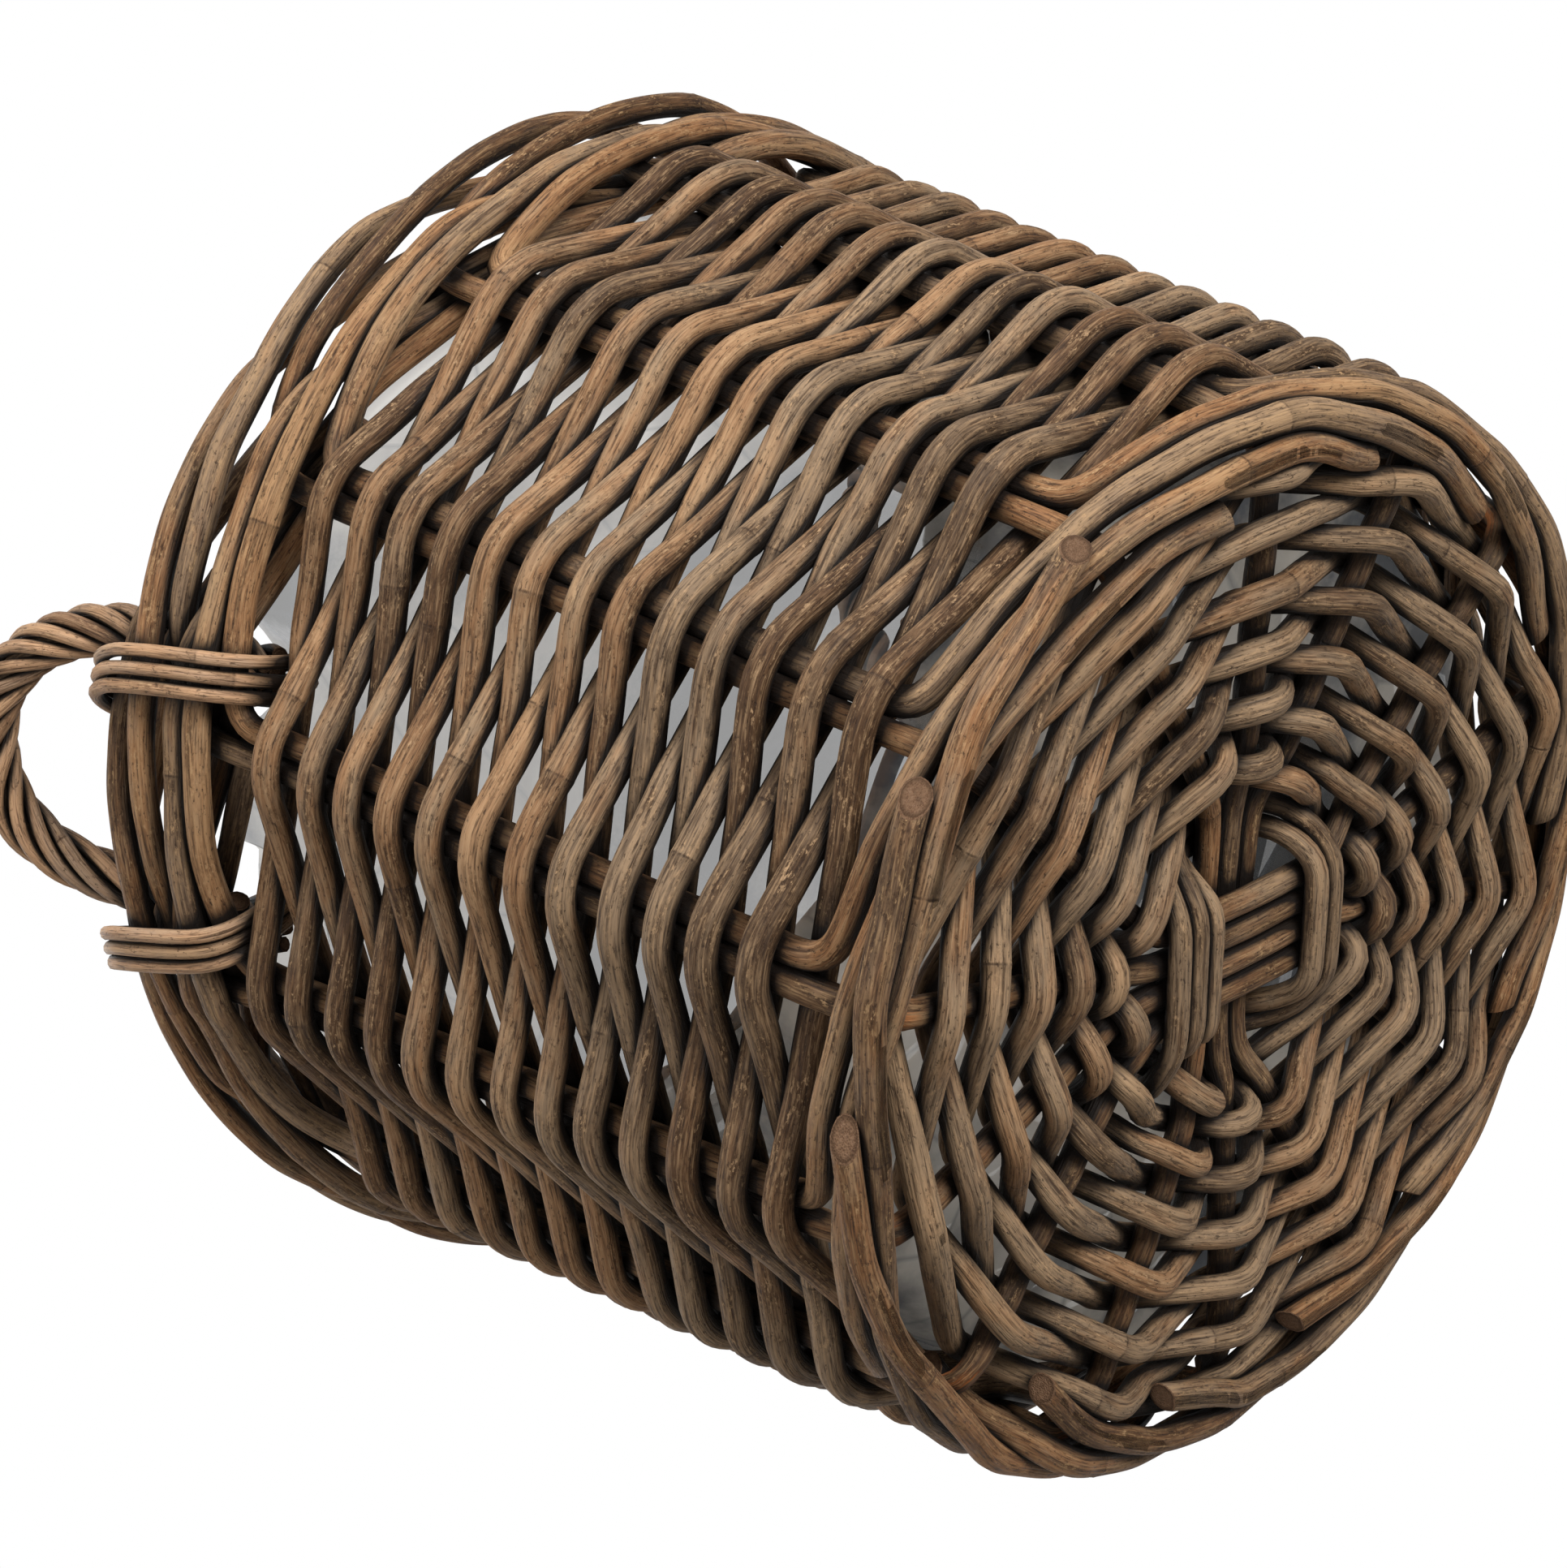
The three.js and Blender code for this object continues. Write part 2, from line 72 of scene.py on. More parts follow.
class End(Enum):
    """How a rod's end is cut: the slope of the cut across the rod."""

    SQUARE = 0.12
    OBLIQUE = 0.6
    STEEP = 1.3


def linear(code: str) -> tuple[float, float, float, float]:
    """Turns an sRGB hex colour into linear values.

    Args:
        code: The colour as six hex digits.

    Returns:
        Red, green, blue and alpha, linear.
    """
    values = []
    for start in (0, 2, 4):
        share = int(code[start:start + 2], 16) / 255.0
        values.append(share / 12.92 if share <= 0.04045 else ((share + 0.055) / 1.055) ** 2.4)
    return (values[0], values[1], values[2], 1.0)


def polar(angle: Array | float, radius: Array | float, z: Array | float) -> Array:
    """Turns an angle, a radius and a level into points.

    Args:
        angle: Angle about the basket's axis, in radians.
        radius: Distance from the axis.
        z: Level.

    Returns:
        The points, one row each.
    """
    angle, radius, z = np.broadcast_arrays(np.asarray(angle, float), radius, z)
    return np.stack([radius * np.cos(angle), radius * np.sin(angle), z], axis=-1)


def unit(vectors: Array) -> Array:
    """Returns the vectors at length one."""
    return vectors / np.maximum(np.linalg.norm(vectors, axis=-1, keepdims=True), 1e-9)


def hill(distance: Array, width: float) -> Array:
    """Returns a smooth hill: 1 at distance 0, fading out over the width."""
    return np.exp(-(distance / width) ** 2)


def rise_from(start: float, length: float, place: Array) -> Array:
    """Returns a share that climbs from 0 at the start to 1 a length further on."""
    return np.clip((place - start) / length, 0.0, 1.0)


def corner_radius(width: float, sides: int = 6) -> float:
    """Returns how far a flat-sided rod's corners lie from its middle."""
    return width / 2.0 / math.cos(math.pi / sides)


def ring_faces(rings: int, sides: int) -> Array:
    """Joins rings of points to a tube.

    Args:
        rings: Number of rings.
        sides: Number of points in each.

    Returns:
        Four point numbers for each face.
    """
    ring = np.arange(rings - 1)[:, None] * sides
    j = np.arange(sides)[None, :]
    k = (j + 1) % sides
    return np.stack([ring + j, ring + k, ring + sides + k, ring + sides + j], axis=-1).reshape(-1, 4)


def lengths_along(line: Array) -> Array:
    """Returns the distance of each point from the line's start, measured along it."""
    steps = np.linalg.norm(np.diff(line, axis=0), axis=1)
    return np.concatenate([[0.0], np.cumsum(steps)])


def resample(line: Array, spacing: float) -> Array:
    """Spaces points evenly along a line.

    Args:
        line: Points of the line.
        spacing: About how far apart the new points lie.

    Returns:
        The new points, with the same first and last.
    """
    s = lengths_along(line)
    count = max(2, int(round(s[-1] / spacing)) + 1)
    grid = np.linspace(0.0, s[-1], count)
    return np.stack([np.interp(grid, s, line[:, k]) for k in range(3)], axis=1)


def rounded(line: Array, spread: float, spacing: float = 5.0) -> Array:
    """Rounds a line's corners as a bent rod does.

    Args:
        line: Corner points in millimetres.
        spread: How far along the rod a corner is spread.
        spacing: Distance between the points returned.

    Returns:
        The rounded line.
    """
    fine = 1.5
    dense = resample(line, fine)
    reach = int(math.ceil(3.0 * spread / fine))
    head = 2.0 * dense[0] - dense[reach:0:-1]
    tail = 2.0 * dense[-1] - dense[-2:-reach - 2:-1]
    padded = np.concatenate([head, dense, tail])
    offsets = np.arange(-reach, reach + 1) * fine
    kernel = np.exp(-0.5 * (offsets / spread) ** 2)
    kernel /= kernel.sum()
    smooth = np.stack([np.convolve(padded[:, k], kernel, "valid") for k in range(3)], axis=1)
    return resample(smooth, spacing)


def wander(rng: np.random.Generator, s: Array, wave: float) -> Array:
    """Makes a smooth random curve along a rod.

    Args:
        rng: Seeded random numbers.
        s: Distances along the rod.
        wave: Distance over which the curve changes.

    Returns:
        One value between about -1 and 1 for each distance.
    """
    knots = rng.uniform(-1.0, 1.0, int(s[-1] / wave) + 4)
    place = s / wave
    low = np.floor(place).astype(int)
    share = place - low
    ease = share * share * (3.0 - 2.0 * share)
    return knots[low] * (1.0 - ease) + knots[low + 1] * ease


@dataclass(frozen=True)
class Sizes:
    """Sizes of the basket in millimetres, the same as those of the solid part."""

    pairs: int = 14
    base_radius: float = 216.0
    rim_radius: float = 252.0
    belly: float = 0.5
    crown: float = 10.0
    stake: float = 10.0
    side_stake: float = 9.4
    weaver: float = 11.4
    base_weaver: float = 9.6
    rows: int = 25
    rods_per_thread: int = 5
    base_level: float = 15.96
    foot_top: float = 26.0
    foot_to_rows: float = 3.0
    rows_to_rim: float = 12.0
    rim_side_start: float = 50.0
    kink: float = 12.0
    gap: float = 0.3
    rope_circle: float = 8.6
    strand: float = 5.4
    strands: int = 6
    rope_lay: float = 105.0
    leg_shift: float = 20.0
    leg_spread: float = 7.0
    cane: float = 5.0
    cane_turns: int = 3
    cane_pitch: float = 6.8

    @property
    def step(self) -> float:
        """Angle between two pairs of stakes."""
        return TAU / self.pairs

    @property
    def spread(self) -> float:
        """Half the distance between the two stakes of a pair."""
        return (corner_radius(self.stake + self.side_stake) + self.gap) / 2.0

    @property
    def stick_pitch(self) -> float:
        """Distance between two base sticks that lie side by side."""
        return 2.0 * (corner_radius(self.stake) + self.gap)

    @property
    def row_pitch(self) -> float:
        """Climb from one row of the wall to the next."""
        return self.weaver + self.gap

    @property
    def first_row(self) -> float:
        """Level of the wall's first row."""
        return self.base_level + self.foot_top + self.foot_to_rows

    @property
    def last_row(self) -> float:
        """Level of the wall's last row."""
        return self.first_row + self.rows * self.row_pitch

    @property
    def rim_level(self) -> float:
        """Level about which the rim's roll is drawn."""
        return self.last_row + self.rows_to_rim + self.rim_side_start

    @property
    def rope_radius(self) -> float:
        """Outer radius of a handle's rope."""
        return self.rope_circle + self.strand / 2.0

    def pair_angle(self, index: float) -> float:
        """Angle of a pair of stakes."""
        return (index - 1.5) * self.step

    def beside(self, index: float, side: int, radius: float) -> float:
        """Angle of one stake of a pair: side -1 is the frame rod, +1 the side stake."""
        return self.pair_angle(index) + side * self.spread / radius

    def wall_radius(self, z: Array | float) -> Array | float:
        """Radius of the stakes at a level."""
        share = np.clip((z - self.base_level) / (self.rim_level - self.base_level), 0.0, 1.0)
        bulge = 4.0 * self.belly * share * (1.0 - share)
        return self.base_radius + (self.rim_radius - self.base_radius) * share + bulge

    def base_height(self, radius: float) -> float:
        """Level of the base's spokes at a radius."""
        return self.base_level + self.crown * max(0.0, 1.0 - radius / (self.base_radius - self.kink))


@dataclass
class Rod:
    """One rod: where it runs, how thick it is and how it was grown and cut."""

    name: str
    node: str
    line: Array
    radius: float
    skin: Skin
    seed: int
    ends: tuple[End, End] = (End.SQUARE, End.SQUARE)
    kinks: tuple[Array, ...] = ()
    tone: tuple[float, float] = (0.5, 0.5)
    sides: int = 14
    stiff: bool = False
    kink_length: float = 13.0

    def flatten(self, places: Array, tangents: Array) -> tuple[Array, Array]:
        """Widens and thins the rod where it was kinked.

        Args:
            places: Points along the rod.
            tangents: Directions along the rod.

        Returns:
            How near each point is to a kink, from 0 to 1, and the direction that is thinned.
        """
        near = np.zeros(len(places))
        for kink in self.kinks:
            near = np.maximum(near, hill(np.linalg.norm(places - kink, axis=1), self.kink_length))
        bend = np.gradient(tangents, axis=0)
        return near, unit(bend + 1e-6)


class Settler:
    """Presses the rods against each other until none runs through another."""

    search_reach: float = 9.0
    search_every: int = 10
    cell: float = 21.0
    own_segments: int = 9
    push: float = 0.55
    ease: float = 0.35
    last_ease: float = 0.1
    last_rounds: int = 8
    hold: float = 0.997

    def __init__(self, rods: list[Rod], floor: float = 0.9) -> None:
        """Collects the rods' points.

        Args:
            rods: Rods to settle, with lines at an even spacing.
            floor: How deep a rod on the floor is cut flat.
        """
        self.rods = rods
        self.floor = floor
        self.start = np.concatenate([rod.line for rod in rods])
        self.radius = np.concatenate([np.full(len(rod.line), rod.radius) for rod in rods])
        self.owner = np.concatenate([np.full(len(rod.line), k) for k, rod in enumerate(rods)])
        self.free = np.concatenate([np.full(len(rod.line), 0.0 if rod.stiff else 1.0) for rod in rods])
        self.shift = np.zeros_like(self.start)
        index = np.arange(len(self.start))
        same_next = np.append(self.owner[1:] == self.owner[:-1], False)
        self.next = np.where(same_next, index + 1, index)
        self.prev = np.zeros_like(index)
        self.prev[1:] = np.where(same_next[:-1], index[:-1], index[1:])
        self.segments = index[same_next]

    def near_pairs(self) -> tuple[Array, Array]:
        """Finds pairs of rod segments that are close to each other.

        Returns:
            First points of the two segments of each pair.
        """
        points = self.start + self.shift
        first = self.segments
        middle = 0.5 * (points[first] + points[first + 1])
        keys = np.floor(middle / self.cell).astype(np.int64) + 512
        strides = np.array([1 << 22, 1 << 11, 1])
        code = keys @ strides
        order = np.argsort(code, kind="stable")
        ordered = code[order]
        found_a = []
        found_b = []
        for shift in (np.array(step) @ strides for step in itertools.product((-1, 0, 1), repeat=3)):
            if shift < 0:
                continue
            low = np.searchsorted(ordered, code + shift, "left")
            counts = np.searchsorted(ordered, code + shift, "right") - low
            a = np.repeat(np.arange(len(first)), counts)
            starts = np.repeat(low - np.concatenate([[0], np.cumsum(counts)[:-1]]), counts)
            b = order[np.arange(len(a)) + starts]
            keep = (a < b) if shift == 0 else (a != b)
            a = a[keep]
            b = b[keep]
            apart = np.linalg.norm(middle[a] - middle[b], axis=1)
            limit = self.radius[first[a]] + self.radius[first[b]] + self.search_reach
            own = (self.owner[first[a]] == self.owner[first[b]]) & (np.abs(a - b) < self.own_segments)
            keep = (apart < limit) & ~own
            found_a.append(first[a[keep]])
            found_b.append(first[b[keep]])
        return np.concatenate(found_a), np.concatenate(found_b)

    def closest(self, a: Array, b: Array) -> tuple[Array, Array, Array]:
        """Finds the closest points of pairs of segments.

        Args:
            a: First points of the first segments.
            b: First points of the second segments.

        Returns:
            Shares along the two segments and the vector from the second to the first.
        """
        points = self.start + self.shift
        p = points[a]
        q = points[b]
        u = points[a + 1] - p
        v = points[b + 1] - q
        w = p - q
        uu = (u * u).sum(1)
        uv = (u * v).sum(1)
        vv = (v * v).sum(1)
        uw = (u * w).sum(1)
        vw = (v * w).sum(1)
        below = uu * vv - uv * uv
        s = np.where(below > 1e-6, (uv * vw - vv * uw) / np.maximum(below, 1e-6), 0.5)
        s = np.clip(s, 0.0, 1.0)
        t = np.clip((uv * s + vw) / np.maximum(vv, 1e-9), 0.0, 1.0)
        s = np.clip((uv * t - uw) / np.maximum(uu, 1e-9), 0.0, 1.0)
        return s, t, w + u * s[:, None] - v * t[:, None]

    def settle(self, rounds: int = 70) -> float:
        """Moves the rods apart and keeps their bends smooth.

        Args:
            rounds: How many small moves are made.

        Returns:
            The deepest overlap that is left, in millimetres.
        """
        worst = 0.0
        count = len(self.start)
        for turn in range(rounds):
            if turn % self.search_every == 0:
                a, b = self.near_pairs()
            s, t, away = self.closest(a, b)
            distance = np.linalg.norm(away, axis=1)
            depth = self.radius[a] + self.radius[b] - distance
            worst = float(depth.max())
            hit = depth > 0.0
            ha = a[hit]
            hb = b[hit]
            push = unit(away[hit]) * (self.push * depth[hit])[:, None]
            give_a = self.free[ha] / np.maximum(self.free[ha] + self.free[hb], 0.01)
            total = np.zeros((count, 3))
            weight = np.zeros(count)
            moves = (
                (ha, 1.0 - s[hit], give_a), (ha + 1, s[hit], give_a),
                (hb, t[hit] - 1.0, 1.0 - give_a), (hb + 1, -t[hit], 1.0 - give_a),
            )
            for place, share, give in moves:
                for k in range(3):
                    total[:, k] += np.bincount(place, push[:, k] * share * give, count)
                weight += np.bincount(place, np.abs(share), count)
            self.shift += total / np.maximum(weight, 1.0)[:, None]
            blend = 0.5 * (self.shift[self.prev] + self.shift[self.next])
            ease = self.ease if turn < rounds - self.last_rounds else self.last_ease
            self.shift = (1.0 - ease) * self.shift + ease * blend
            self.shift *= self.hold
            low = self.start[:, 2] + self.shift[:, 2] - (self.radius - self.floor)
            self.shift[:, 2] -= np.minimum(low, 0.0)
        place = 0
        for rod in self.rods:
            end = place + len(rod.line)
            rod.line = self.start[place:end] + self.shift[place:end]
            place = end
        return worst


class Shelter:
    """Measures how closely other rods surround a spot: there the rattan's colour is darkened, as painted
    shade.
    """

    reach: float = 26.0
    nearest: float = 6.5
    own_stretch: float = 30.0

    def __init__(self, rods: list[Rod]) -> None:
        """Collects the points of all rods, once they are settled."""
        self.points = np.concatenate([rod.line for rod in rods])
        self.owner = np.concatenate([np.full(len(rod.line), k) for k, rod in enumerate(rods)])
        along = [lengths_along(rod.line) for rod in rods]
        self.place = np.concatenate(along)
        faces = [2.0 * rod.radius * np.gradient(s) for rod, s in zip(rods, along)]
        self.face = np.concatenate(faces)
        self.tree = KDTree(len(self.points))
        for k, point in enumerate(self.points):
            self.tree.insert(point, k)
        self.tree.balance()

    def measure(self, number: int, line: Array, s: Array, spots: Array) -> Array:
        """Finds the share of the view from each spot that other rods fill.

        Args:
            number: Number of the rod in the list.
            line: Centre of each of its rings.
            s: Distances of the rings along it.
            spots: Points of each ring.

        Returns:
            A share from 0 to 1 for each point.
        """
        filled = np.zeros(spots.shape[:2])
        for i, centre in enumerate(line):
            near = np.array([k for _, k, _ in self.tree.find_range(centre, self.reach)], dtype=int)
            near = near[(self.owner[near] != number) | (np.abs(self.place[near] - s[i]) > self.own_stretch)]
            if len(near) == 0:
                continue
            way = self.points[near][None] - spots[i][:, None]
            far = np.maximum(np.linalg.norm(way, axis=2), self.nearest)
            facing = (way * unit(spots[i] - centre)[:, None]).sum(2) / far
            filled[i] = (facing.clip(0.0) * self.face[near] / far ** 2).sum(1) / math.pi
        return 1.0 - np.exp(-filled)


@dataclass
class Rings:
    """The rings of a rod's mesh from its start to its end, all in millimetres."""

    s: Array
    growth: Array
    line: Array
    tangents: Array
    kinked: Array
    section: Array
    spots: Array


class RodMaker:
    """Turns a rod's line into a mesh with growth rings, grooves and cut ends."""

    rattan_wave: tuple[float, float] = (190.0, 400.0)
    cane_wave: tuple[float, float] = (90.0, 200.0)
    mesh_step: float = 4.2
    ring_steps: tuple[float, ...] = (-3.4, -1.7, -0.6, 0.0, 0.6, 1.7, 3.4)
    crowded: float = 1.0
    end_clear: float = 0.8
    growth_clear: float = 6.0
    # Each swelling at a growth ring: its height as a share of the radius, its place and its width
    growth_swell: tuple[tuple[float, float, float], ...] = (
        (0.03, 0.0, 1.6), (0.02, 2.0, 7.0), (-0.015, -2.6, 1.5))
    # Each set of ridges: how many there are, their height, and how they turn along the rod
    ridges: tuple[tuple[float, float, float, float], ...] = (
        (2.0, 0.035, 2.0, 0.0), (3.0, 0.018, -1.7, 1.0), (5.0, 0.012, 2.3, 0.0))
    groove_depth: float = 0.09
    groove_width: float = 0.4
    lip: float = 0.88
    kink_thins: float = 0.24
    kink_widens: float = 0.2
    open_shelter: float = 0.15
    far_ring: float = 60.0

    def __init__(self, skins: dict[Skin, bpy.types.Material], cut: bpy.types.Material,
                 shelter: Shelter) -> None:
        """Keeps the finishes.

        Args:
            skins: Finish of each kind of rattan.
            cut: Finish of a cut end.
            shelter: Tells how closely rods surround a spot.
        """
        self.skins = skins
        self.cut = cut
        self.shelter = shelter

    def stations(self, rng: np.random.Generator, length: float,
                 wave: tuple[float, float]) -> tuple[Array, Array]:
        """Chooses where along a rod its mesh has rings.

        Args:
            rng: Seeded random numbers.
            length: The rod's length in millimetres.
            wave: Least and greatest distance between growth rings.

        Returns:
            Distances of the mesh's rings and of the growth rings.
        """
        places = []
        place = rng.uniform(0.2, 1.0) * wave[0]
        while place < length - self.growth_clear:
            places.append(place)
            place += rng.uniform(*wave)
        grown = np.array(places)
        even = np.linspace(0.0, length, max(3, int(length / self.mesh_step)))
        near = (grown[:, None] + np.array(self.ring_steps)).ravel()
        near = near[(near > self.end_clear) & (near < length - self.end_clear)]
        clash = (np.abs(near[None, :] - even[:, None]) < self.crowded).any(axis=1)
        clash[0] = clash[-1] = False
        return np.sort(np.concatenate([even[~clash], near])), grown

    def clear_ends(self, rod: Rod, s: Array) -> Array:
        """Drops the rings that a sloping cut at either end would run through."""
        first, last = (end.value * rod.radius * 1.15 + self.end_clear for end in rod.ends)
        keep = (s > s[0] + first) & (s < s[-1] - last)
        keep[0] = keep[-1] = True
        return s[keep]

    def frames(self, line: Array) -> tuple[Array, Array, Array]:
        """Carries two directions across the rod along its line without twist.

        Args:
            line: Points along the rod.

        Returns:
            Directions along, across and the second one across, for each point.
        """
        tangents = unit(np.gradient(line, axis=0))
        across = np.zeros_like(tangents)
        current = UP if abs(tangents[0][2]) < 0.9 else np.array([1.0, 0.0, 0.0])
        for i, tangent in enumerate(tangents):
            current = current - tangent * float(current @ tangent)
            current = current / math.sqrt(float(current @ current))
            across[i] = current
        return tangents, across, np.cross(tangents, across)

    def shape_section(self, rod: Rod, rng: np.random.Generator, s: Array, growth: Array) -> Array:
        """Shapes the rod's section: its thickness, growth rings, low ridges and a groove.

        Args:
            rod: The rod.
            rng: Seeded random numbers.
            s: Distances of the rings.
            growth: Signed distance of each ring to the nearest growth ring.

        Returns:
            The points of each ring in two directions across the rod.
        """
        theta = np.arange(rod.sides) * TAU / rod.sides
        swell = sum(height * hill(growth - place, width) for height, place, width in self.growth_swell)
        thick = rod.radius * (1.0 + 0.05 * wander(rng, s, 150.0) + 0.03 * wander(rng, s, 19.0) + swell)
        turn = wander(rng, s, 160.0)[:, None] * 2.2
        ridges = sum(height * np.cos(count * theta + turns * turn + start)
                     for count, height, turns, start in self.ridges)
        groove = wander(rng, s, 70.0).clip(0.0, 1.0)[:, None]
        bite = hill(np.mod(theta - turn + math.pi, TAU) - math.pi, self.groove_width)
        radius = thick[:, None] * (1.0 + ridges - self.groove_depth * groove * bite)
        return np.stack([radius * np.cos(theta), radius * np.sin(theta)], axis=-1)

    def build(self, rod: Rod, number: int) -> bpy.types.Object:
        """Builds one rod.

        Args:
            rod: The rod, its line settled.
            number: Its number in the list of all rods.

        Returns:
            The finished object.
        """
        rng = np.random.default_rng(rod.seed)
        s_line = lengths_along(rod.line)
        wave = self.cane_wave if rod.skin is Skin.CANE else self.rattan_wave
        s, grown = self.stations(rng, float(s_line[-1]), wave)
        s = self.clear_ends(rod, s)
        line = self.spline(rod.line, s_line, s)
        tangents, across, other = self.frames(line)
        to_ring = s[:, None] - grown if len(grown) else np.full((len(s), 1), self.far_ring)
        growth = to_ring[np.arange(len(s)), np.abs(to_ring).argmin(1)]
        section = self.shape_section(rod, rng, s, growth)
        spots = line[:, None] + section[..., :1] * across[:, None] + section[..., 1:] * other[:, None]
        kinked, thin = rod.flatten(line, tangents)
        if rod.kinks:
            spots = self.press(spots, line, tangents, kinked, thin)
        spots[..., 2] = np.maximum(spots[..., 2], 0.0)
        closed = self.shelter.measure(number, line, s, spots)
        rings = Rings(s, growth, line, tangents, kinked, section, spots)
        return self.mesh(rod, rng, rings, closed)

    def spline(self, line: Array, s_line: Array, s: Array) -> Array:
        """Reads a smooth line at the given distances.

        Args:
            line: Points of the line.
            s_line: Their distances along it.
            s: Distances to read.

        Returns:
            Points at those distances.
        """
        slope = np.gradient(line, s_line, axis=0)
        i = np.clip(np.searchsorted(s_line, s, "right") - 1, 0, len(s_line) - 2)
        h = (s_line[i + 1] - s_line[i])[:, None]
        t = (s - s_line[i])[:, None] / h
        a = (1.0 + 2.0 * t) * (1.0 - t) ** 2
        b = t * (1.0 - t) ** 2
        c = t * t * (3.0 - 2.0 * t)
        d = t * t * (t - 1.0)
        return a * line[i] + b * h * slope[i] + c * line[i + 1] + d * h * slope[i + 1]

    def press(self, spots: Array, line: Array, tangents: Array, near: Array, thin: Array) -> Array:
        """Flattens a rod's section where it is kinked.

        Args:
            spots: Points of the rod's surface.
            line: Its centreline.
            tangents: Directions along it.
            near: How near each ring is to a kink.
            thin: Direction that is thinned at each ring.

        Returns:
            The pressed points.
        """
        wide = np.cross(tangents, thin)
        offset = spots - line[:, None, :]
        deep = (offset * thin[:, None, :]).sum(-1)
        broad = (offset * wide[:, None, :]).sum(-1)
        change = -self.kink_thins * near[:, None] * deep
        spread = self.kink_widens * near[:, None] * broad
        return spots + change[..., None] * thin[:, None, :] + spread[..., None] * wide[:, None, :]

    def mesh(self, rod: Rod, rng: np.random.Generator, rings: Rings, closed: Array) -> bpy.types.Object:
        """Makes the mesh object with its attributes.

        Args:
            rod: The rod.
            rng: Seeded random numbers.
            rings: The rings of its mesh.
            closed: How closely other rods surround each point of the rings.

        Returns:
            The object.
        """
        s, line, tangents, spots = rings.s, rings.line, rings.tangents, rings.spots
        n, m = spots.shape[:2]
        spots[0], lip_a, mid_a = self.cut_end(rod.ends[0], line[0], tangents[0], spots[0], rng, -1.0)
        spots[-1], lip_b, mid_b = self.cut_end(rod.ends[1], line[-1], tangents[-1], spots[-1], rng, 1.0)
        points = np.concatenate([spots.reshape(-1, 3), lip_a, mid_a[None], lip_b, mid_b[None]])
        quads = ring_faces(n, m)
        at_a = n * m
        at_b = at_a + m + 1
        j = np.arange(m)
        k = (j + 1) % m
        lips = np.concatenate([
            np.stack([k, j, at_a + j, at_a + k], axis=-1),
            np.stack([(n - 1) * m + j, (n - 1) * m + k, at_b + k, at_b + j], axis=-1),
        ])
        fans = np.concatenate([
            np.stack([at_a + k, at_a + j, np.full(m, at_a + m)], axis=-1),
            np.stack([at_b + j, at_b + k, np.full(m, at_b + m)], axis=-1),
        ])
        faces = quads.tolist() + lips.tolist() + fans.tolist()
        data = bpy.data.meshes.new(rod.name)
        data.from_pydata((points * MM).tolist(), [], faces)
        data.materials.append(self.skins[rod.skin])
        data.materials.append(self.cut)
        number = np.arange(len(faces))
        data.polygons.foreach_set("material_index", (number >= len(quads)).astype(np.int32))
        data.polygons.foreach_set("use_smooth", number < len(quads) + len(lips))
        middle = np.zeros((1, 2))
        across = np.concatenate([rings.section.reshape(-1, 2), rings.section[0] * self.lip, middle,
                                 rings.section[-1] * self.lip, middle])
        beyond = [np.full(m + 1, s[0] - 1.0), np.full(m + 1, s[-1] + 1.0)]
        along = np.concatenate([np.repeat(s, m)] + beyond)
        place = rng.uniform(-900.0, 900.0, 3)
        self.store(data, "grain", np.concatenate([across, along[:, None]], axis=1) + place)
        warm = rod.tone[0] + 0.42 * wander(rng, s, 240.0) + 0.18 * wander(rng, s, 45.0)
        dark = rod.tone[1] + 0.45 * wander(rng, s, 190.0) + 0.22 * wander(rng, s, 34.0)
        tint = np.stack([warm, dark, rings.kinked], axis=1)
        ends = [np.repeat(tint[at:at + 1], m + 1, axis=0) for at in (0, n - 1)]
        for end in ends:
            end[:, 2] = 1.0
            end[-1, 2] = 0.0
        self.store(data, "tint", np.concatenate([np.repeat(tint, m, axis=0)] + ends))
        growth = np.concatenate([np.repeat(rings.growth, m), np.full(2 * m + 2, self.far_ring)])
        self.store(data, "ring", growth.clip(-self.far_ring, self.far_ring))
        self.unwrap(data, s, n, m)
        data.validate()
        data.update()
        # The shelter share sets the painted shade in the rattan's colour; the cut ends get an open value
        self.store(data, "shelter", np.concatenate([closed.ravel(), np.full(2 * m + 2, self.open_shelter)]))
        piece = bpy.data.objects.new(rod.name, data)
        bpy.context.collection.objects.link(piece)
        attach(piece, "root")
        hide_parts(rod.node)
        return piece

    def store(self, data: bpy.types.Mesh, name: str, values: Array) -> None:
        """Stores a number or a vector for each point.

        Args:
            data: The mesh.
            name: Name of the attribute.
            values: The numbers in a row, or the vectors one in each row.
        """
        kind, key = ("FLOAT", "value") if values.ndim == 1 else ("FLOAT_VECTOR", "vector")
        layer = data.attributes.new(name, kind, "POINT")
        layer.data.foreach_set(key, values.astype(np.float32).ravel())

    def cut_end(self, end: End, centre: Array, tangent: Array, ring: Array, rng: np.random.Generator,
                side: float) -> tuple[Array, Array, Array]:
        """Cuts a rod's end across at a slope.

        Args:
            end: How it is cut.
            centre: Middle of the end.
            tangent: Direction of the rod there.
            ring: Points of the last ring.
            rng: Seeded random numbers.
            side: -1 at the rod's start and 1 at its end.

        Returns:
            The ring on the cut, the ring inside its lip and the middle of the cut.
        """
        tilt = rng.normal(0.0, 1.0, 3)
        if end is not End.SQUARE:
            tilt = np.array([centre[0], centre[1], -160.0]) + 60.0 * rng.normal(0.0, 0.35, 3)
        tilt = unit(tilt - tangent * float(tilt @ tangent))
        offset = ring - centre
        lean = tangent * (side * -(offset @ tilt) * end.value)[:, None]
        lip = centre + (offset + lean) * self.lip + tangent * side * 0.35
        return ring + lean, lip, centre + tangent * side * 0.25

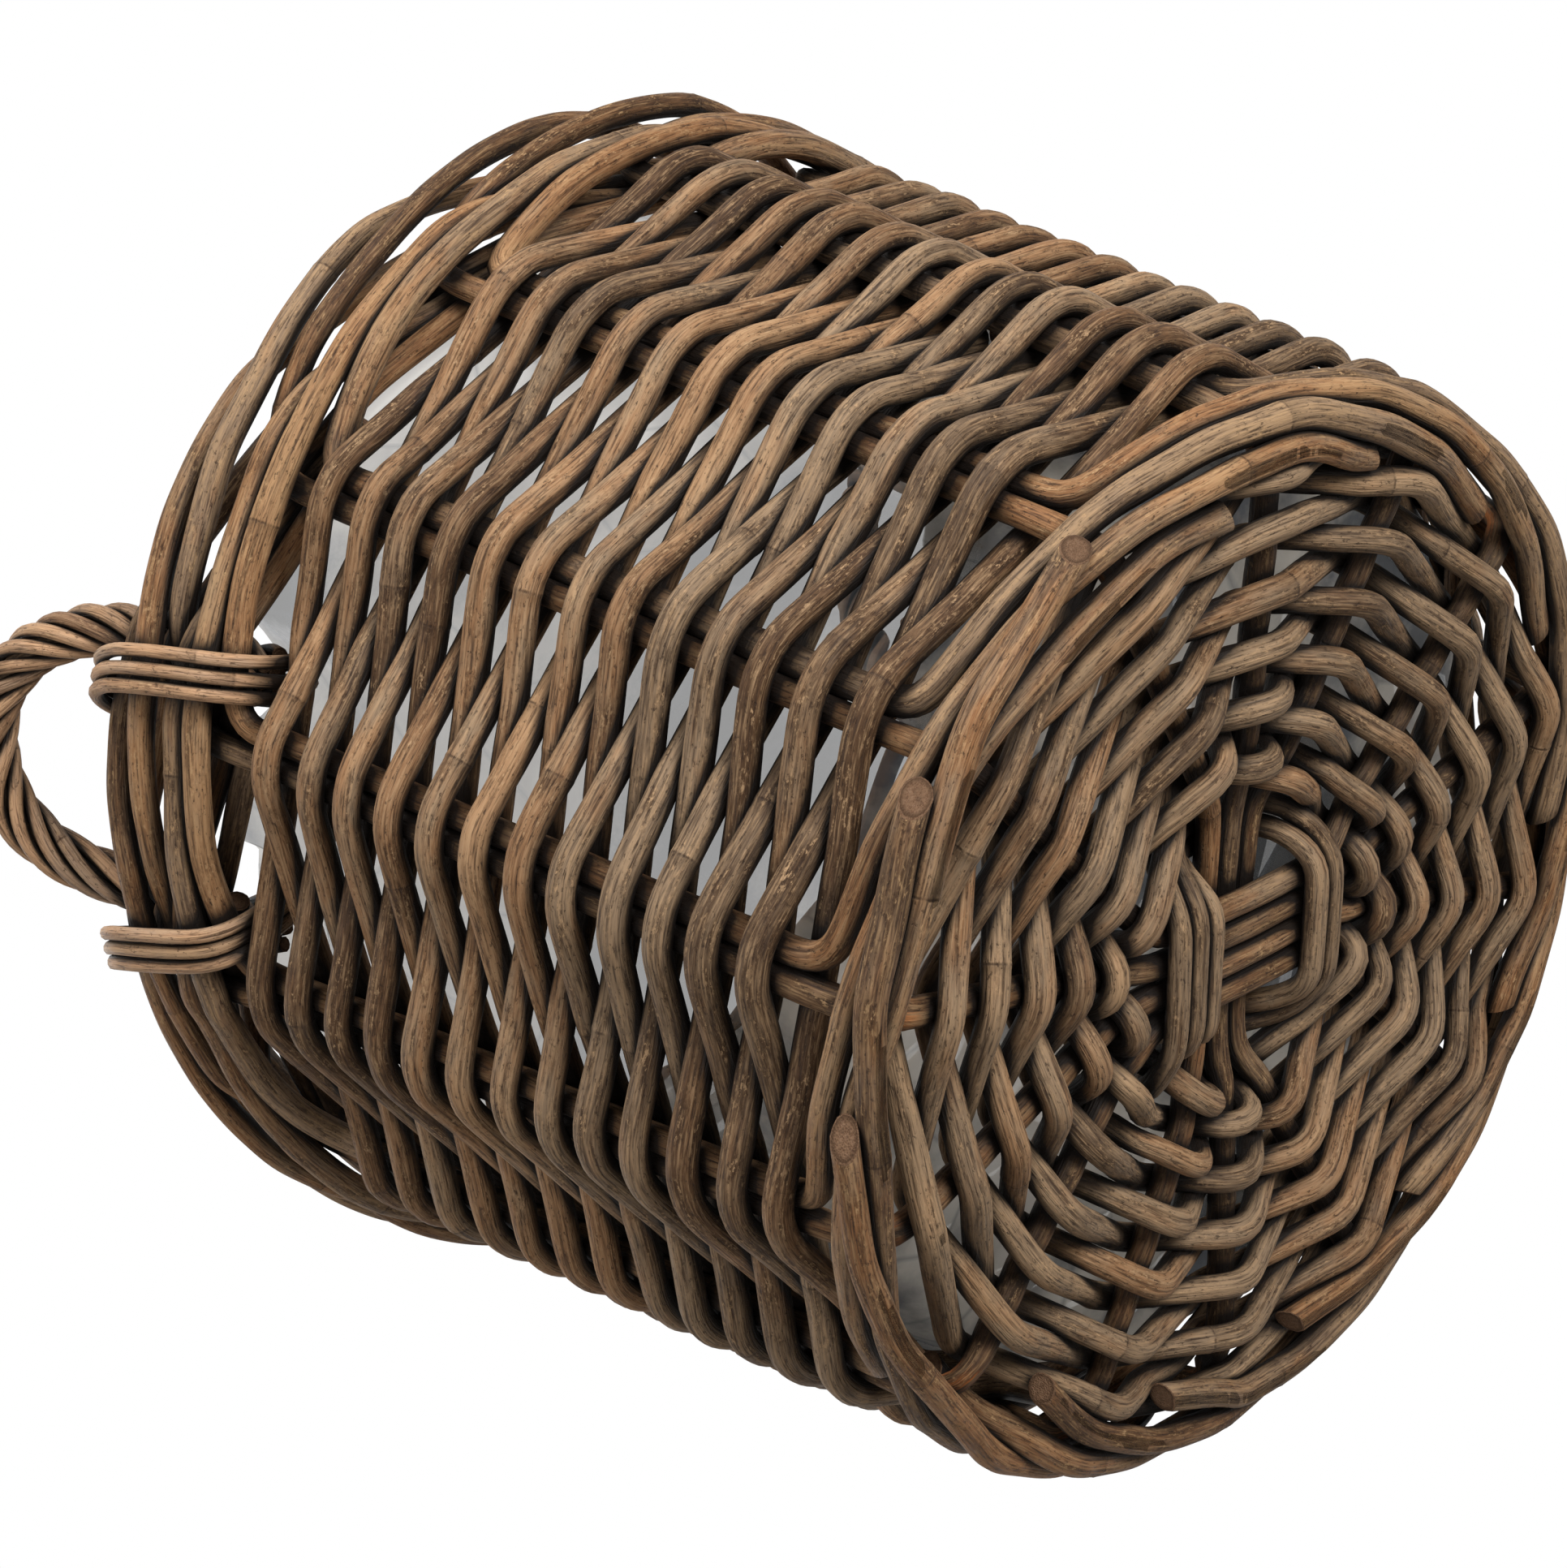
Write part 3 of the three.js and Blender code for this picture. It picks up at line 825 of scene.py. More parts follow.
    def unwrap(self, data: bpy.types.Mesh, s: Array, n: int, m: int) -> None:
        """Gives a rod a map that runs round it and along it.

        Args:
            data: The mesh.
            s: Distances of its rings in millimetres.
            n: Number of rings.
            m: Number of points in a ring.
        """
        layer = data.uv_layers.new(name="rod")
        v = s / max(s[-1], 1.0)
        u = np.arange(m + 1) / m
        corner = np.zeros((n - 1, m, 4, 2))
        for number, (right, up) in enumerate(((0, 0), (1, 0), (1, 1), (0, 1))):
            corner[:, :, number, 0] = u[right:m + right]
            corner[:, :, number, 1] = v[up:n - 1 + up, None]
        values = np.zeros((len(data.loops), 2), dtype=np.float32)
        values[:corner.size // 2] = corner.reshape(-1, 2)
        layer.data.foreach_set("uv", values.ravel())


def add_node(tree: bpy.types.NodeTree, kind: str, inputs: dict[str | int, object] | None = None,
             **settings: object) -> bpy.types.Node:
    """Adds a node with its settings and links.

    Args:
        tree: The material's node tree.
        kind: Blender's name of the node type.
        inputs: A number, colour, node or output for each input, by the input's name or place.
        **settings: The node's properties.

    Returns:
        The node.
    """
    made = tree.nodes.new(kind)
    for key, value in settings.items():
        setattr(made, key, value)
    for key, value in (inputs or {}).items():
        source = value.outputs[0] if isinstance(value, bpy.types.Node) else value
        if isinstance(source, bpy.types.NodeSocket):
            tree.links.new(source, made.inputs[key])
        else:
            made.inputs[key].default_value = source
    return made


def empty_tree(owner: bpy.types.Material | bpy.types.World) -> bpy.types.NodeTree:
    """Returns the node tree of a material or a world, with nothing in it."""
    owner.use_nodes = True
    owner.node_tree.nodes.clear()
    return owner.node_tree


def fill_ramp(ramp: bpy.types.Node, *stops: tuple[float, str]) -> bpy.types.Node:
    """Sets the stops of a colour ramp.

    Args:
        ramp: The colour ramp node.
        *stops: Places from 0 to 1 with their sRGB colours, in order.

    Returns:
        The same node.
    """
    elements = ramp.color_ramp.elements
    elements.remove(elements[-1])
    elements[0].position = stops[0][0]
    elements[0].color = linear(stops[0][1])
    for place, code in stops[1:]:
        elements.new(place).color = linear(code)
    return ramp


def where(tree: bpy.types.NodeTree, *ranges: tuple[object, float, float, float, float]) -> bpy.types.Node:
    """Works out how strongly a coat shows: each value is spread over a range, and the results multiply.

    Args:
        tree: The material's node tree.
        *ranges: For each value: the value, where its range starts and ends, and the strength at
            both, which is held beyond them.

    Returns:
        The node that gives the strength.
    """
    strength = None
    for value, start, end, at_start, at_end in ranges:
        part = add_node(tree, "ShaderNodeMapRange", {0: value, 1: start, 2: end, 3: at_start, 4: at_end})
        if strength is None:
            strength = part
        else:
            strength = add_node(tree, "ShaderNodeMath", {0: strength, 1: part}, operation="MULTIPLY")
    return strength


def lay_coats(tree: bpy.types.NodeTree, base: object, *coats: tuple[str, object]) -> bpy.types.NodeSocket:
    """Lays colours over one another.

    Args:
        tree: The material's node tree.
        base: The colour below.
        *coats: The sRGB colour of each coat and how strongly it shows, from the lowest up.

    Returns:
        The colour that is seen.
    """
    for code, strength in coats:
        mixed = add_node(tree, "ShaderNodeMix", {0: strength, 6: base, 7: linear(code)}, data_type="RGBA")
        base = mixed.outputs[2]
    return base


@dataclass(frozen=True)
class RattanFinish:
    """Weathered natural rattan rod, unpeeled and bent wet: dry skin with growth rings."""

    name: str
    warm: str = "886445"
    grey: str = "7f6a54"
    dark: str = "3a2716"
    pale: str = "aa8b69"
    speck: str = "26180f"
    # Near-black painted shade for the crevices between rods
    crevice_shade: str = "0a0503"
    raw: str = "a3602f"
    rough: float = 0.62
    streak_mm: tuple[float, float] = (2.2, 60.0)
    fibre_mm: tuple[float, float] = (1.0, 14.0)
    blotch_mm: tuple[float, float] = (9.0, 34.0)
    patch_mm: tuple[float, float] = (4.2, 17.0)
    grit_mm: tuple[float, float] = (1.3, 2.8)
    relief_mm: float = 1.1

    def build(self) -> bpy.types.Material:
        """Builds the material.

        Returns:
            The material, dry and matt with long streaks along the rod.
        """
        material = bpy.data.materials.new(self.name)
        tree = empty_tree(material)
        tint = add_node(tree, "ShaderNodeAttribute", attribute_name="tint").outputs["Vector"]
        warmth, shade, kinked = add_node(tree, "ShaderNodeSeparateXYZ", {0: tint}).outputs
        ring = add_node(tree, "ShaderNodeAttribute", attribute_name="ring").outputs["Fac"]
        shelter = add_node(tree, "ShaderNodeAttribute", attribute_name="shelter").outputs["Fac"]
        # Real fibres and grit are finer and are drawn as coarse as they need to show
        streak = self.along_rod(tree, self.streak_mm, 4.0, 0.65)
        fibre = self.along_rod(tree, self.fibre_mm, 2.0, 0.6)
        blotch = self.along_rod(tree, self.blotch_mm, 4.0, 0.65)
        patch = self.along_rod(tree, self.patch_mm, 5.0, 0.72)
        grit = self.along_rod(tree, self.grit_mm, 3.0, 0.7)
        glow = add_node(tree, "ShaderNodeMath", {0: blotch, 1: 2.2, 2: warmth}, operation="MULTIPLY_ADD")
        gloom = add_node(tree, "ShaderNodeMath", {0: patch, 1: 3.0, 2: shade}, operation="MULTIPLY_ADD")
        ring_line = where(tree, (ring, -0.8, -0.1, 0.0, 1.0), (ring, 0.1, 0.8, 1.0, 0.0),
                          (patch, 0.42, 0.55, 0.15, 0.75))
        torn = where(tree, (kinked, 0.0, 1.0, 0.0, 1.0), (streak, 0.42, 0.6, 0.2, 1.0))
        # To the eye the rod is brown, warm in places and grey in others, with dark and pale fibres, and
        # near black where other rods close round it: painted shade in the crevices
        colour = lay_coats(
            tree, linear(self.grey),
            (self.warm, where(tree, (glow, 1.3, 1.9, 0.0, 1.0))),
            (self.pale, where(tree, (streak, 0.5, 0.64, 0.0, 0.4))),
            (self.dark, where(tree, (gloom, 2.0, 2.65, 0.0, 0.8))),
            (self.dark, where(tree, (shade, 0.35, 1.0, 0.0, 0.6))),
            (self.pale, where(tree, (shade, 0.2, -0.3, 0.0, 0.5))),
            (self.dark, where(tree, (streak, 0.48, 0.36, 0.0, 0.7))),
            (self.pale, where(tree, (fibre, 0.51, 0.68, 0.0, 0.4))),
            (self.speck, where(tree, (fibre, 0.47, 0.32, 0.0, 0.75))),
            (self.speck, where(tree, (grit, 0.59, 0.68, 0.0, 0.75))),
            (self.pale, where(tree, (grit, 0.47, 0.38, 0.0, 1.0), (patch, 0.5, 0.62, 0.0, 0.75))),
            (self.speck, where(tree, (ring, -9.0, -1.0, 0.0, 0.3), (ring, -0.5, 0.2, 1.0, 0.0))),
            (self.speck, ring_line),
            (self.raw, where(tree, (torn, 0.25, 0.8, 0.0, 0.8))),
            # Painted shade: near black where the shelter share says other rods close round the spot
            (self.crevice_shade, where(tree, (shelter, 0.15, 0.46, 0.0, 0.98))),
        )
        height = 0.0
        pits = where(tree, (grit, 0.56, 0.7, 0.0, 1.0))
        for value, share in ((streak, 0.8), (fibre, 0.6), (pits, -0.2), (ring_line, -0.3)):
            height = add_node(tree, "ShaderNodeMath", {0: value, 1: share, 2: height},
                              operation="MULTIPLY_ADD")
        bump = add_node(tree, "ShaderNodeBump",
                        {"Height": height, "Strength": 0.9, "Distance": self.relief_mm * MM})
        shader = add_node(tree, "ShaderNodeBsdfPrincipled", {
            "Base Color": colour,
            "Roughness": where(tree, (patch, 0.3, 0.7, self.rough - 0.08, self.rough + 0.2)),
            "Normal": bump,
            "IOR": 1.45,
            "Specular IOR Level": 0.22,
        })
        add_node(tree, "ShaderNodeOutputMaterial", {"Surface": shader})
        return material

    def along_rod(self, tree: bpy.types.NodeTree, grain_mm: tuple[float, float], detail: float,
                  rough: float) -> bpy.types.NodeSocket:
        """Draws a noise out along the rod.

        Args:
            tree: The material's node tree.
            grain_mm: Size of its grains across the rod and along it, in millimetres.
            detail: How many finer layers it has.
            rough: How strong the finer layers are.

        Returns:
            The noise, mostly between 0.3 and 0.7.
        """
        across, along = grain_mm
        place = add_node(tree, "ShaderNodeAttribute", attribute_name="grain").outputs["Vector"]
        scale = (1.0 / across, 1.0 / across, 1.0 / along)
        drawn = add_node(tree, "ShaderNodeMapping", {"Vector": place, "Scale": scale})
        inputs = {"Vector": drawn, "Scale": 1.0, "Detail": detail, "Roughness": rough}
        return add_node(tree, "ShaderNodeTexNoise", inputs).outputs["Fac"]


@dataclass(frozen=True)
class CutFinish:
    """Sawn end of a rattan rod: open pores in brown pith, darker round the skin."""

    name: str = "rattan_cut_end"
    pith: str = "664d39"
    damp: str = "473629"
    dry: str = "7c6350"
    pore: str = "4c2f1e"
    rim: str = "3a2819"
    pore_mm: tuple[float, float] = (0.55, 20.0)
    cloud_mm: float = 5.0 / 3.0
    relief_mm: float = 0.6

    def build(self) -> bpy.types.Material:
        """Builds the material.

        Returns:
            The material, with pores that run along the rod.
        """
        material = bpy.data.materials.new(self.name)
        tree = empty_tree(material)
        grain = add_node(tree, "ShaderNodeAttribute", attribute_name="grain").outputs["Vector"]
        tint = add_node(tree, "ShaderNodeAttribute", attribute_name="tint").outputs["Vector"]
        edge = add_node(tree, "ShaderNodeSeparateXYZ", {0: tint}).outputs["Z"]
        across, along = self.pore_mm
        drawn = add_node(tree, "ShaderNodeMapping",
                         {"Vector": grain, "Scale": (1.0 / across, 1.0 / across, 1.0 / along)})
        cells = add_node(tree, "ShaderNodeTexVoronoi", {"Vector": drawn, "Scale": 1.0}).outputs["Distance"]
        cloud = add_node(tree, "ShaderNodeTexNoise",
                         {"Vector": grain, "Scale": 1.0 / self.cloud_mm, "Detail": 4.0})
        # To the eye it is a dull brown disc, peppered with dark pores
        pores = fill_ramp(add_node(tree, "ShaderNodeValToRGB", {0: cells}),
                          (0.0, self.pore), (0.28, self.pore), (0.5, self.pith), (1.0, self.pith))
        tone = fill_ramp(add_node(tree, "ShaderNodeValToRGB", {0: cloud.outputs["Fac"]}),
                         (0.3, self.damp), (0.5, self.pith), (0.8, self.dry))
        mixed = add_node(tree, "ShaderNodeMix", {0: 0.5, 6: pores, 7: tone}, data_type="RGBA")
        colour = lay_coats(tree, mixed.outputs[2], (self.rim, where(tree, (edge, 0.7, 1.0, 0.0, 0.85))))
        bump = add_node(tree, "ShaderNodeBump",
                        {"Height": cells, "Strength": 0.8, "Distance": self.relief_mm * MM})
        shader = add_node(tree, "ShaderNodeBsdfPrincipled", {
            "Base Color": colour,
            "Roughness": 0.9,
            "Normal": bump,
            "Specular IOR Level": 0.2,
        })
        add_node(tree, "ShaderNodeOutputMaterial", {"Surface": shader})
        return material


@dataclass(frozen=True)
class FilmFinish:
    """Blown polythene film, thin and grey, creased by hand."""

    name: str = "liner_polythene"
    shade: str = "575858"
    smoke: str = "74787d"
    milk: str = "ddd7cc"
    light: str = "f7f2e9"
    crease_mm: float = 40.0
    cloud_mm: float = 80.0
    relief_mm: float = 3.0
    through: float = 0.55
    clear: float = 0.3

    def build(self) -> bpy.types.Material:
        """Builds the material.

        Returns:
            The material, half cloudy and half see-through, with gloss on its creases.
        """
        material = bpy.data.materials.new(self.name)
        tree = empty_tree(material)
        place = add_node(tree, "ShaderNodeTexCoord").outputs["Object"]
        level = add_node(tree, "ShaderNodeSeparateXYZ", {0: place}).outputs["Z"]
        size = 1.0 / (self.crease_mm * MM)
        dents = add_node(tree, "ShaderNodeTexVoronoi", {"Vector": place, "Scale": size})
        creases = add_node(tree, "ShaderNodeTexVoronoi", {"Vector": place, "Scale": size * 0.7},
                           feature="DISTANCE_TO_EDGE")
        fine = add_node(tree, "ShaderNodeTexNoise",
                        {"Vector": place, "Scale": size * 3.0, "Detail": 4.0, "Roughness": 0.6})
        cloud = add_node(tree, "ShaderNodeTexNoise",
                         {"Vector": place, "Scale": 1.0 / (self.cloud_mm * MM), "Detail": 2.0})
        # To the eye it is a milky skin that lets light through, greyer near the floor than at the rim:
        # painted shade low down, where less light reaches it
        tone = where(tree, (level, 0.04, 0.3, -0.95, -0.6))
        for value, share in ((cloud, 2.4), (fine, 0.3)):
            tone = add_node(tree, "ShaderNodeMath", {0: value, 1: share, 2: tone}, operation="MULTIPLY_ADD")
        milky = fill_ramp(add_node(tree, "ShaderNodeValToRGB", {0: tone}),
                          (0.12, self.shade), (0.36, self.smoke), (0.62, self.milk), (0.95, self.light))
        # Painted shade: grey lines along the film's creases
        lines = where(tree, (creases.outputs["Distance"], 0.0, 0.03, 0.5, 0.0))
        colour = lay_coats(tree, milky, (self.smoke, lines))
        height = add_node(tree, "ShaderNodeMath", {0: fine, 1: 0.5, 2: dents.outputs["Distance"]},
                          operation="MULTIPLY_ADD")
        bump = add_node(tree, "ShaderNodeBump",
                        {"Height": height, "Strength": 0.5, "Distance": self.relief_mm * MM})
        gloss = add_node(tree, "ShaderNodeBsdfPrincipled", {
            "Base Color": colour,
            "Roughness": 0.25,
            "Normal": bump,
            "IOR": 1.5,
            "Specular IOR Level": 0.3,
        })
        through = add_node(tree, "ShaderNodeBsdfTranslucent", {"Color": colour, "Normal": bump})
        cloudy = add_node(tree, "ShaderNodeMixShader", {0: self.through, 1: gloss, 2: through})
        clear = add_node(tree, "ShaderNodeBsdfTransparent")
        shader = add_node(tree, "ShaderNodeMixShader", {0: self.clear, 1: cloudy, 2: clear})
        add_node(tree, "ShaderNodeOutputMaterial", {"Surface": shader})
        return material


@dataclass
class StakeFrame:
    """The seven base sticks with their bent-up stakes and the fourteen stakes set beside them."""

    sizes: Sizes
    rng: np.random.Generator
    rods: list[Rod] = field(default_factory=list)
    rim_frame: Path = (
        (0, 0, -28), (0.1, 1, -20), (0.25, 4.5, -13), (0.5, 12.5, -13.5), (0.75, 15.5, -11.5),
        (1, 17.5, -8.5), (1.25, 18.5, -5), (1.5, 18.5, -0.5), (1.75, 16.5, 5.5), (2, 12.5, 11.5),
        (2.3, 5, 17), (2.6, -4, 15.5), (3, -9, 7), (3.4, -10, -3), (3.7, -10, -11),
        (4.05, -10.5, -21), (4.5, -11.5, -30), (5.1, -12.5, -42))
    rim_side: Path = (
        (0, 0, -50), (0.25, 6.5, -46.5), (0.5, 12.6, -43.5), (0.75, 14.8, -41.5), (1, 15.3, -39),
        (1.25, 15.3, -36), (1.5, 15.2, -32.5), (2, 14, -25.5), (2.25, 10.2, -22.5), (2.4, 2.8, -22.3),
        (2.55, -4.5, -22.5), (2.75, -10.5, -25), (3, -12, -33), (3.25, -12.5, -42))
    foot: Path = ((0, 0, 26), (0.14, 5.5, 19), (0.5, 10, 12), (1, 10, 5), (1.5, 8.5, -1.5), (2, 5, -8))
    tucked: Path = ((2.5, -3, -12), (3, -10, -9), (3.5, -16, -3))
    inward: Path = ((2.5, -2, -12), (3, -11, -11.5), (3.5, -23, -11.5))
    outward: Path = ((2.5, 10, -11), (3, 18.5, -10), (3.7, 19, -7))
    outward_short: Path = ((2.5, 10, -11), (3, 17, -10), (3.5, 18.5, -8))
    hidden: Path = ((2.3, 2, -2), (2.6, 0, 9), (2.86, -3, 18))
    inward_pairs: tuple[int, ...] = (8, 9, 10)
    outward_pairs: tuple[int, ...] = (0, 13)
    short_pair: int = 12
    hidden_pair: int = 11
    stick_radius: float = 5.55
    side_radius: float = 5.95
    crossing: float = 55.4
    joined: float = 0.17
    bend_middle: float = 0.29
    above_foot: float = 30.0
    below_rim: float = 12.0
    point_spacing: float = 45.0
    kink_reach: float = 22.0
    # Each stick: the pairs at its two ends, whether it lies along X, and its place beside its neighbours
    sticks: tuple[tuple[int, int, bool, float], ...] = (
        (0, 10, True, -1.5), (1, 9, True, -0.5), (2, 8, True, 0.5), (3, 7, True, 1.5),
        (13, 4, False, -1.0), (12, 5, False, 0.0), (11, 6, False, 1.0))
    spokes: dict[int, tuple[Array, Array]] = field(default_factory=dict)

    def rising(self, index: int, side: int, table: Path, lowest: float) -> list[Array]:
        """Path of a stake up the wall and through the rim.

        Args:
            index: Number of the pair.
            side: -1 for the frame rod, 1 for the side stake.
            table: Path through the rim: spacings travelled, outward, upward.
            lowest: Level at which the path starts.

        Returns:
            Points of the path.
        """
        sizes = self.sizes
        start = sizes.rim_level + table[0][2]
        points = []
        for z in np.arange(lowest + self.above_foot, start - self.below_rim, self.point_spacing):
            radius = sizes.wall_radius(z)
            sway = self.rng.normal(0.0, 0.5)
            points.append(polar(sizes.beside(index, side, radius) + sway / radius, radius, z))
        rim = sizes.wall_radius(start)
        angle = sizes.beside(index, side, rim)
        for travel, out, rise in table:
            loose = 0.0 if travel < 0.1 else 0.7
            shift = self.rng.normal(0.0, loose, 2)
            level = sizes.rim_level + rise + shift[1]
            points.append(polar(angle + travel * sizes.step, rim + out + shift[0], level))
        return points

    def stick_half(self, stick: tuple[int, int, bool, float], end: int) -> tuple[list[Array], Array]:
        """One half of a base stick, from the crossing out to the rim.

        Args:
            stick: Pair at its first end, pair at its second, whether it lies along X, and its place.
            end: Which of its two ends.

        Returns:
            Points of the path and the middle of its kink.
        """
        sizes = self.sizes
        index = stick[end]
        along_x, place = stick[2:]
        sign = 1.0 if end == 0 else -1.0
        reach = self.crossing * (sign if along_x else -sign)
        aside = place * sizes.stick_pitch * (1.0 if along_x else -1.0)
        start = np.array([reach, aside, 0.0] if along_x else [aside, reach, 0.0])
        edge_radius = sizes.base_radius - sizes.kink
        edge = polar(sizes.beside(index, -1, edge_radius), edge_radius, 0.0)
        join = start + (edge - start) * self.joined
        layer = (-1.0 if along_x else 1.0) * (sizes.stake + sizes.gap) / 2.0
        start[2] = sizes.base_height(float(np.hypot(*start[:2]))) + layer
        join[2] = sizes.base_height(float(np.hypot(*join[:2])))
        edge[2] = sizes.base_height(edge_radius)
        self.spokes[index] = (join, edge)
        inner = self.bend_middle * sizes.kink
        bend = sizes.base_radius - inner
        points = [start, join, edge, polar(sizes.beside(index, -1, bend), bend, sizes.base_level + inner)]
        foot = sizes.base_level + sizes.kink
        points.append(polar(sizes.beside(index, -1, sizes.base_radius), sizes.wall_radius(foot), foot))
        points += self.rising(index, -1, self.rim_frame, foot)
        return points, points[3]

    def foot_end(self, index: int) -> Path:
        """Last stretch of a side stake under the foot: most are tucked in, some ends show."""
        if index in self.inward_pairs:
            return self.inward
        if index in self.outward_pairs:
            return self.outward
        return {self.hidden_pair: self.hidden, self.short_pair: self.outward_short}.get(index, self.tucked)

    def make(self) -> None:
        """Draws the seven sticks and the fourteen side stakes."""
        sizes = self.sizes
        for number, stick in enumerate(self.sticks):
            first, kink_a = self.stick_half(stick, 0)
            second, kink_b = self.stick_half(stick, 1)
            corners = np.array(first[::-1] + second)
            line = rounded(corners, 8.0)
            sharp = rounded(corners, 4.0)
            wide = resample(line, lengths_along(line)[-1] / (len(sharp) - 1))
            off = [np.linalg.norm(sharp - kink, axis=1) for kink in (kink_a, kink_b)]
            share = hill(np.minimum(*off), self.kink_reach)[:, None]
            blended = share * sharp + (1.0 - share) * wide
            tone = (0.45 + self.rng.uniform(-0.35, 0.35), 0.5 + self.rng.uniform(-0.25, 0.3))
            radius = self.stick_radius + self.rng.uniform(-0.15, 0.25)
            self.rods.append(Rod(f"stick_{number + 1}", f"frame_rod_{number + 1}", resample(blended, 5.0),
                                 radius, Skin.STAKE, 100 + number, kinks=(kink_a, kink_b), tone=tone))
        for index in range(sizes.pairs):
            points = []
            angle = sizes.beside(index, 1, sizes.base_radius)
            for travel, out, rise in (self.foot + self.foot_end(index))[::-1]:
                level = sizes.base_level + rise
                radius = sizes.wall_radius(level) if travel == 0 else sizes.base_radius + out
                loose = 0.0 if travel == 0 else 0.6
                shift = self.rng.normal(0.0, loose, 2)
                level += abs(shift[1]) * 0.5
                points.append(polar(angle + travel * sizes.step, radius + shift[0], level))
            points += self.rising(index, 1, self.rim_side, sizes.base_level + self.foot[0][2])
            tone = (0.45 + self.rng.uniform(-0.4, 0.4), 0.45 + self.rng.uniform(-0.3, 0.3))
            radius = self.side_radius + self.rng.uniform(-0.2, 0.3)
            steep = index in self.outward_pairs or index == self.short_pair
            ends = (End.STEEP if steep else End.OBLIQUE, End.SQUARE)
            self.rods.append(Rod(f"side_rod_{index + 1}", f"side_stake_{index + 1}",
                                 rounded(np.array(points), 9.0), radius, Skin.STAKE, 200 + index,
                                 ends=ends, tone=tone))


@dataclass
class WallWeave:
    """The two threads of the wall, each of five rods, passing outside every other pair."""

    sizes: Sizes
    rng: np.random.Generator
    rods: list[Rod] = field(default_factory=list)
    radius: float = 6.1
    first_pair: int = 5
    press_in: float = 0.1
    press_out: float = 0.4

    def thread(self, thread: int, first: int, last: int) -> Array:
        """Corner points of one rod of a thread.

        Args:
            thread: 0 or 1.
            first: Number of its first pass.
            last: Number of its last pass.

        Returns:
            The corner points.
        """
        sizes = self.sizes
        swing_in = sizes.stake / 2.0 + sizes.weaver / 2.0 + self.press_in
        swing_out = swing_in + self.press_out
        start = self.first_pair + thread * sizes.pairs / 2
        points = []
        for n in range(first, last + 1):
            angle = sizes.pair_angle(start + n)
            z = sizes.first_row + n * 2.0 * sizes.row_pitch / sizes.pairs + self.rng.normal(0.0, 1.3)
            radius = sizes.wall_radius(z)
            if n % 2 == 1:
                flat = sizes.spread + 2.0 + self.rng.normal(0.0, 1.6)
                out = radius + swing_out + self.rng.normal(0.0, 0.5)
                slide = polar(angle + math.pi / 2.0, flat, 0.0)
                peak = polar(angle, out, z)
                points += [peak - slide, peak + slide]
            else:
                points.append(polar(angle, radius - swing_in, z))
        return np.array(points)

    def make(self) -> None:
        """Draws the ten rods of the wall."""
        sizes = self.sizes
        passes = sizes.pairs * sizes.rows / 2
        for thread, letter in enumerate("ab"):
            first = 0
            for part in range(1, sizes.rods_per_thread + 1):
                last = 2 * math.floor(passes * part / sizes.rods_per_thread / 2 + 0.5)
                points = self.thread(thread, first, last)
                tone = (0.45 + self.rng.uniform(-0.45, 0.45), 0.45 + self.rng.uniform(-0.4, 0.4))
                radius = self.radius + self.rng.uniform(-0.4, 0.35)
                self.rods.append(Rod(f"weaver_{letter}_{part}", f"wall_weaver_{letter}_{part}",
                                     rounded(points, 9.5)[1:-1], radius, Skin.WEAVER,
                                     300 + 10 * thread + part - 1, tone=tone))
                first = last


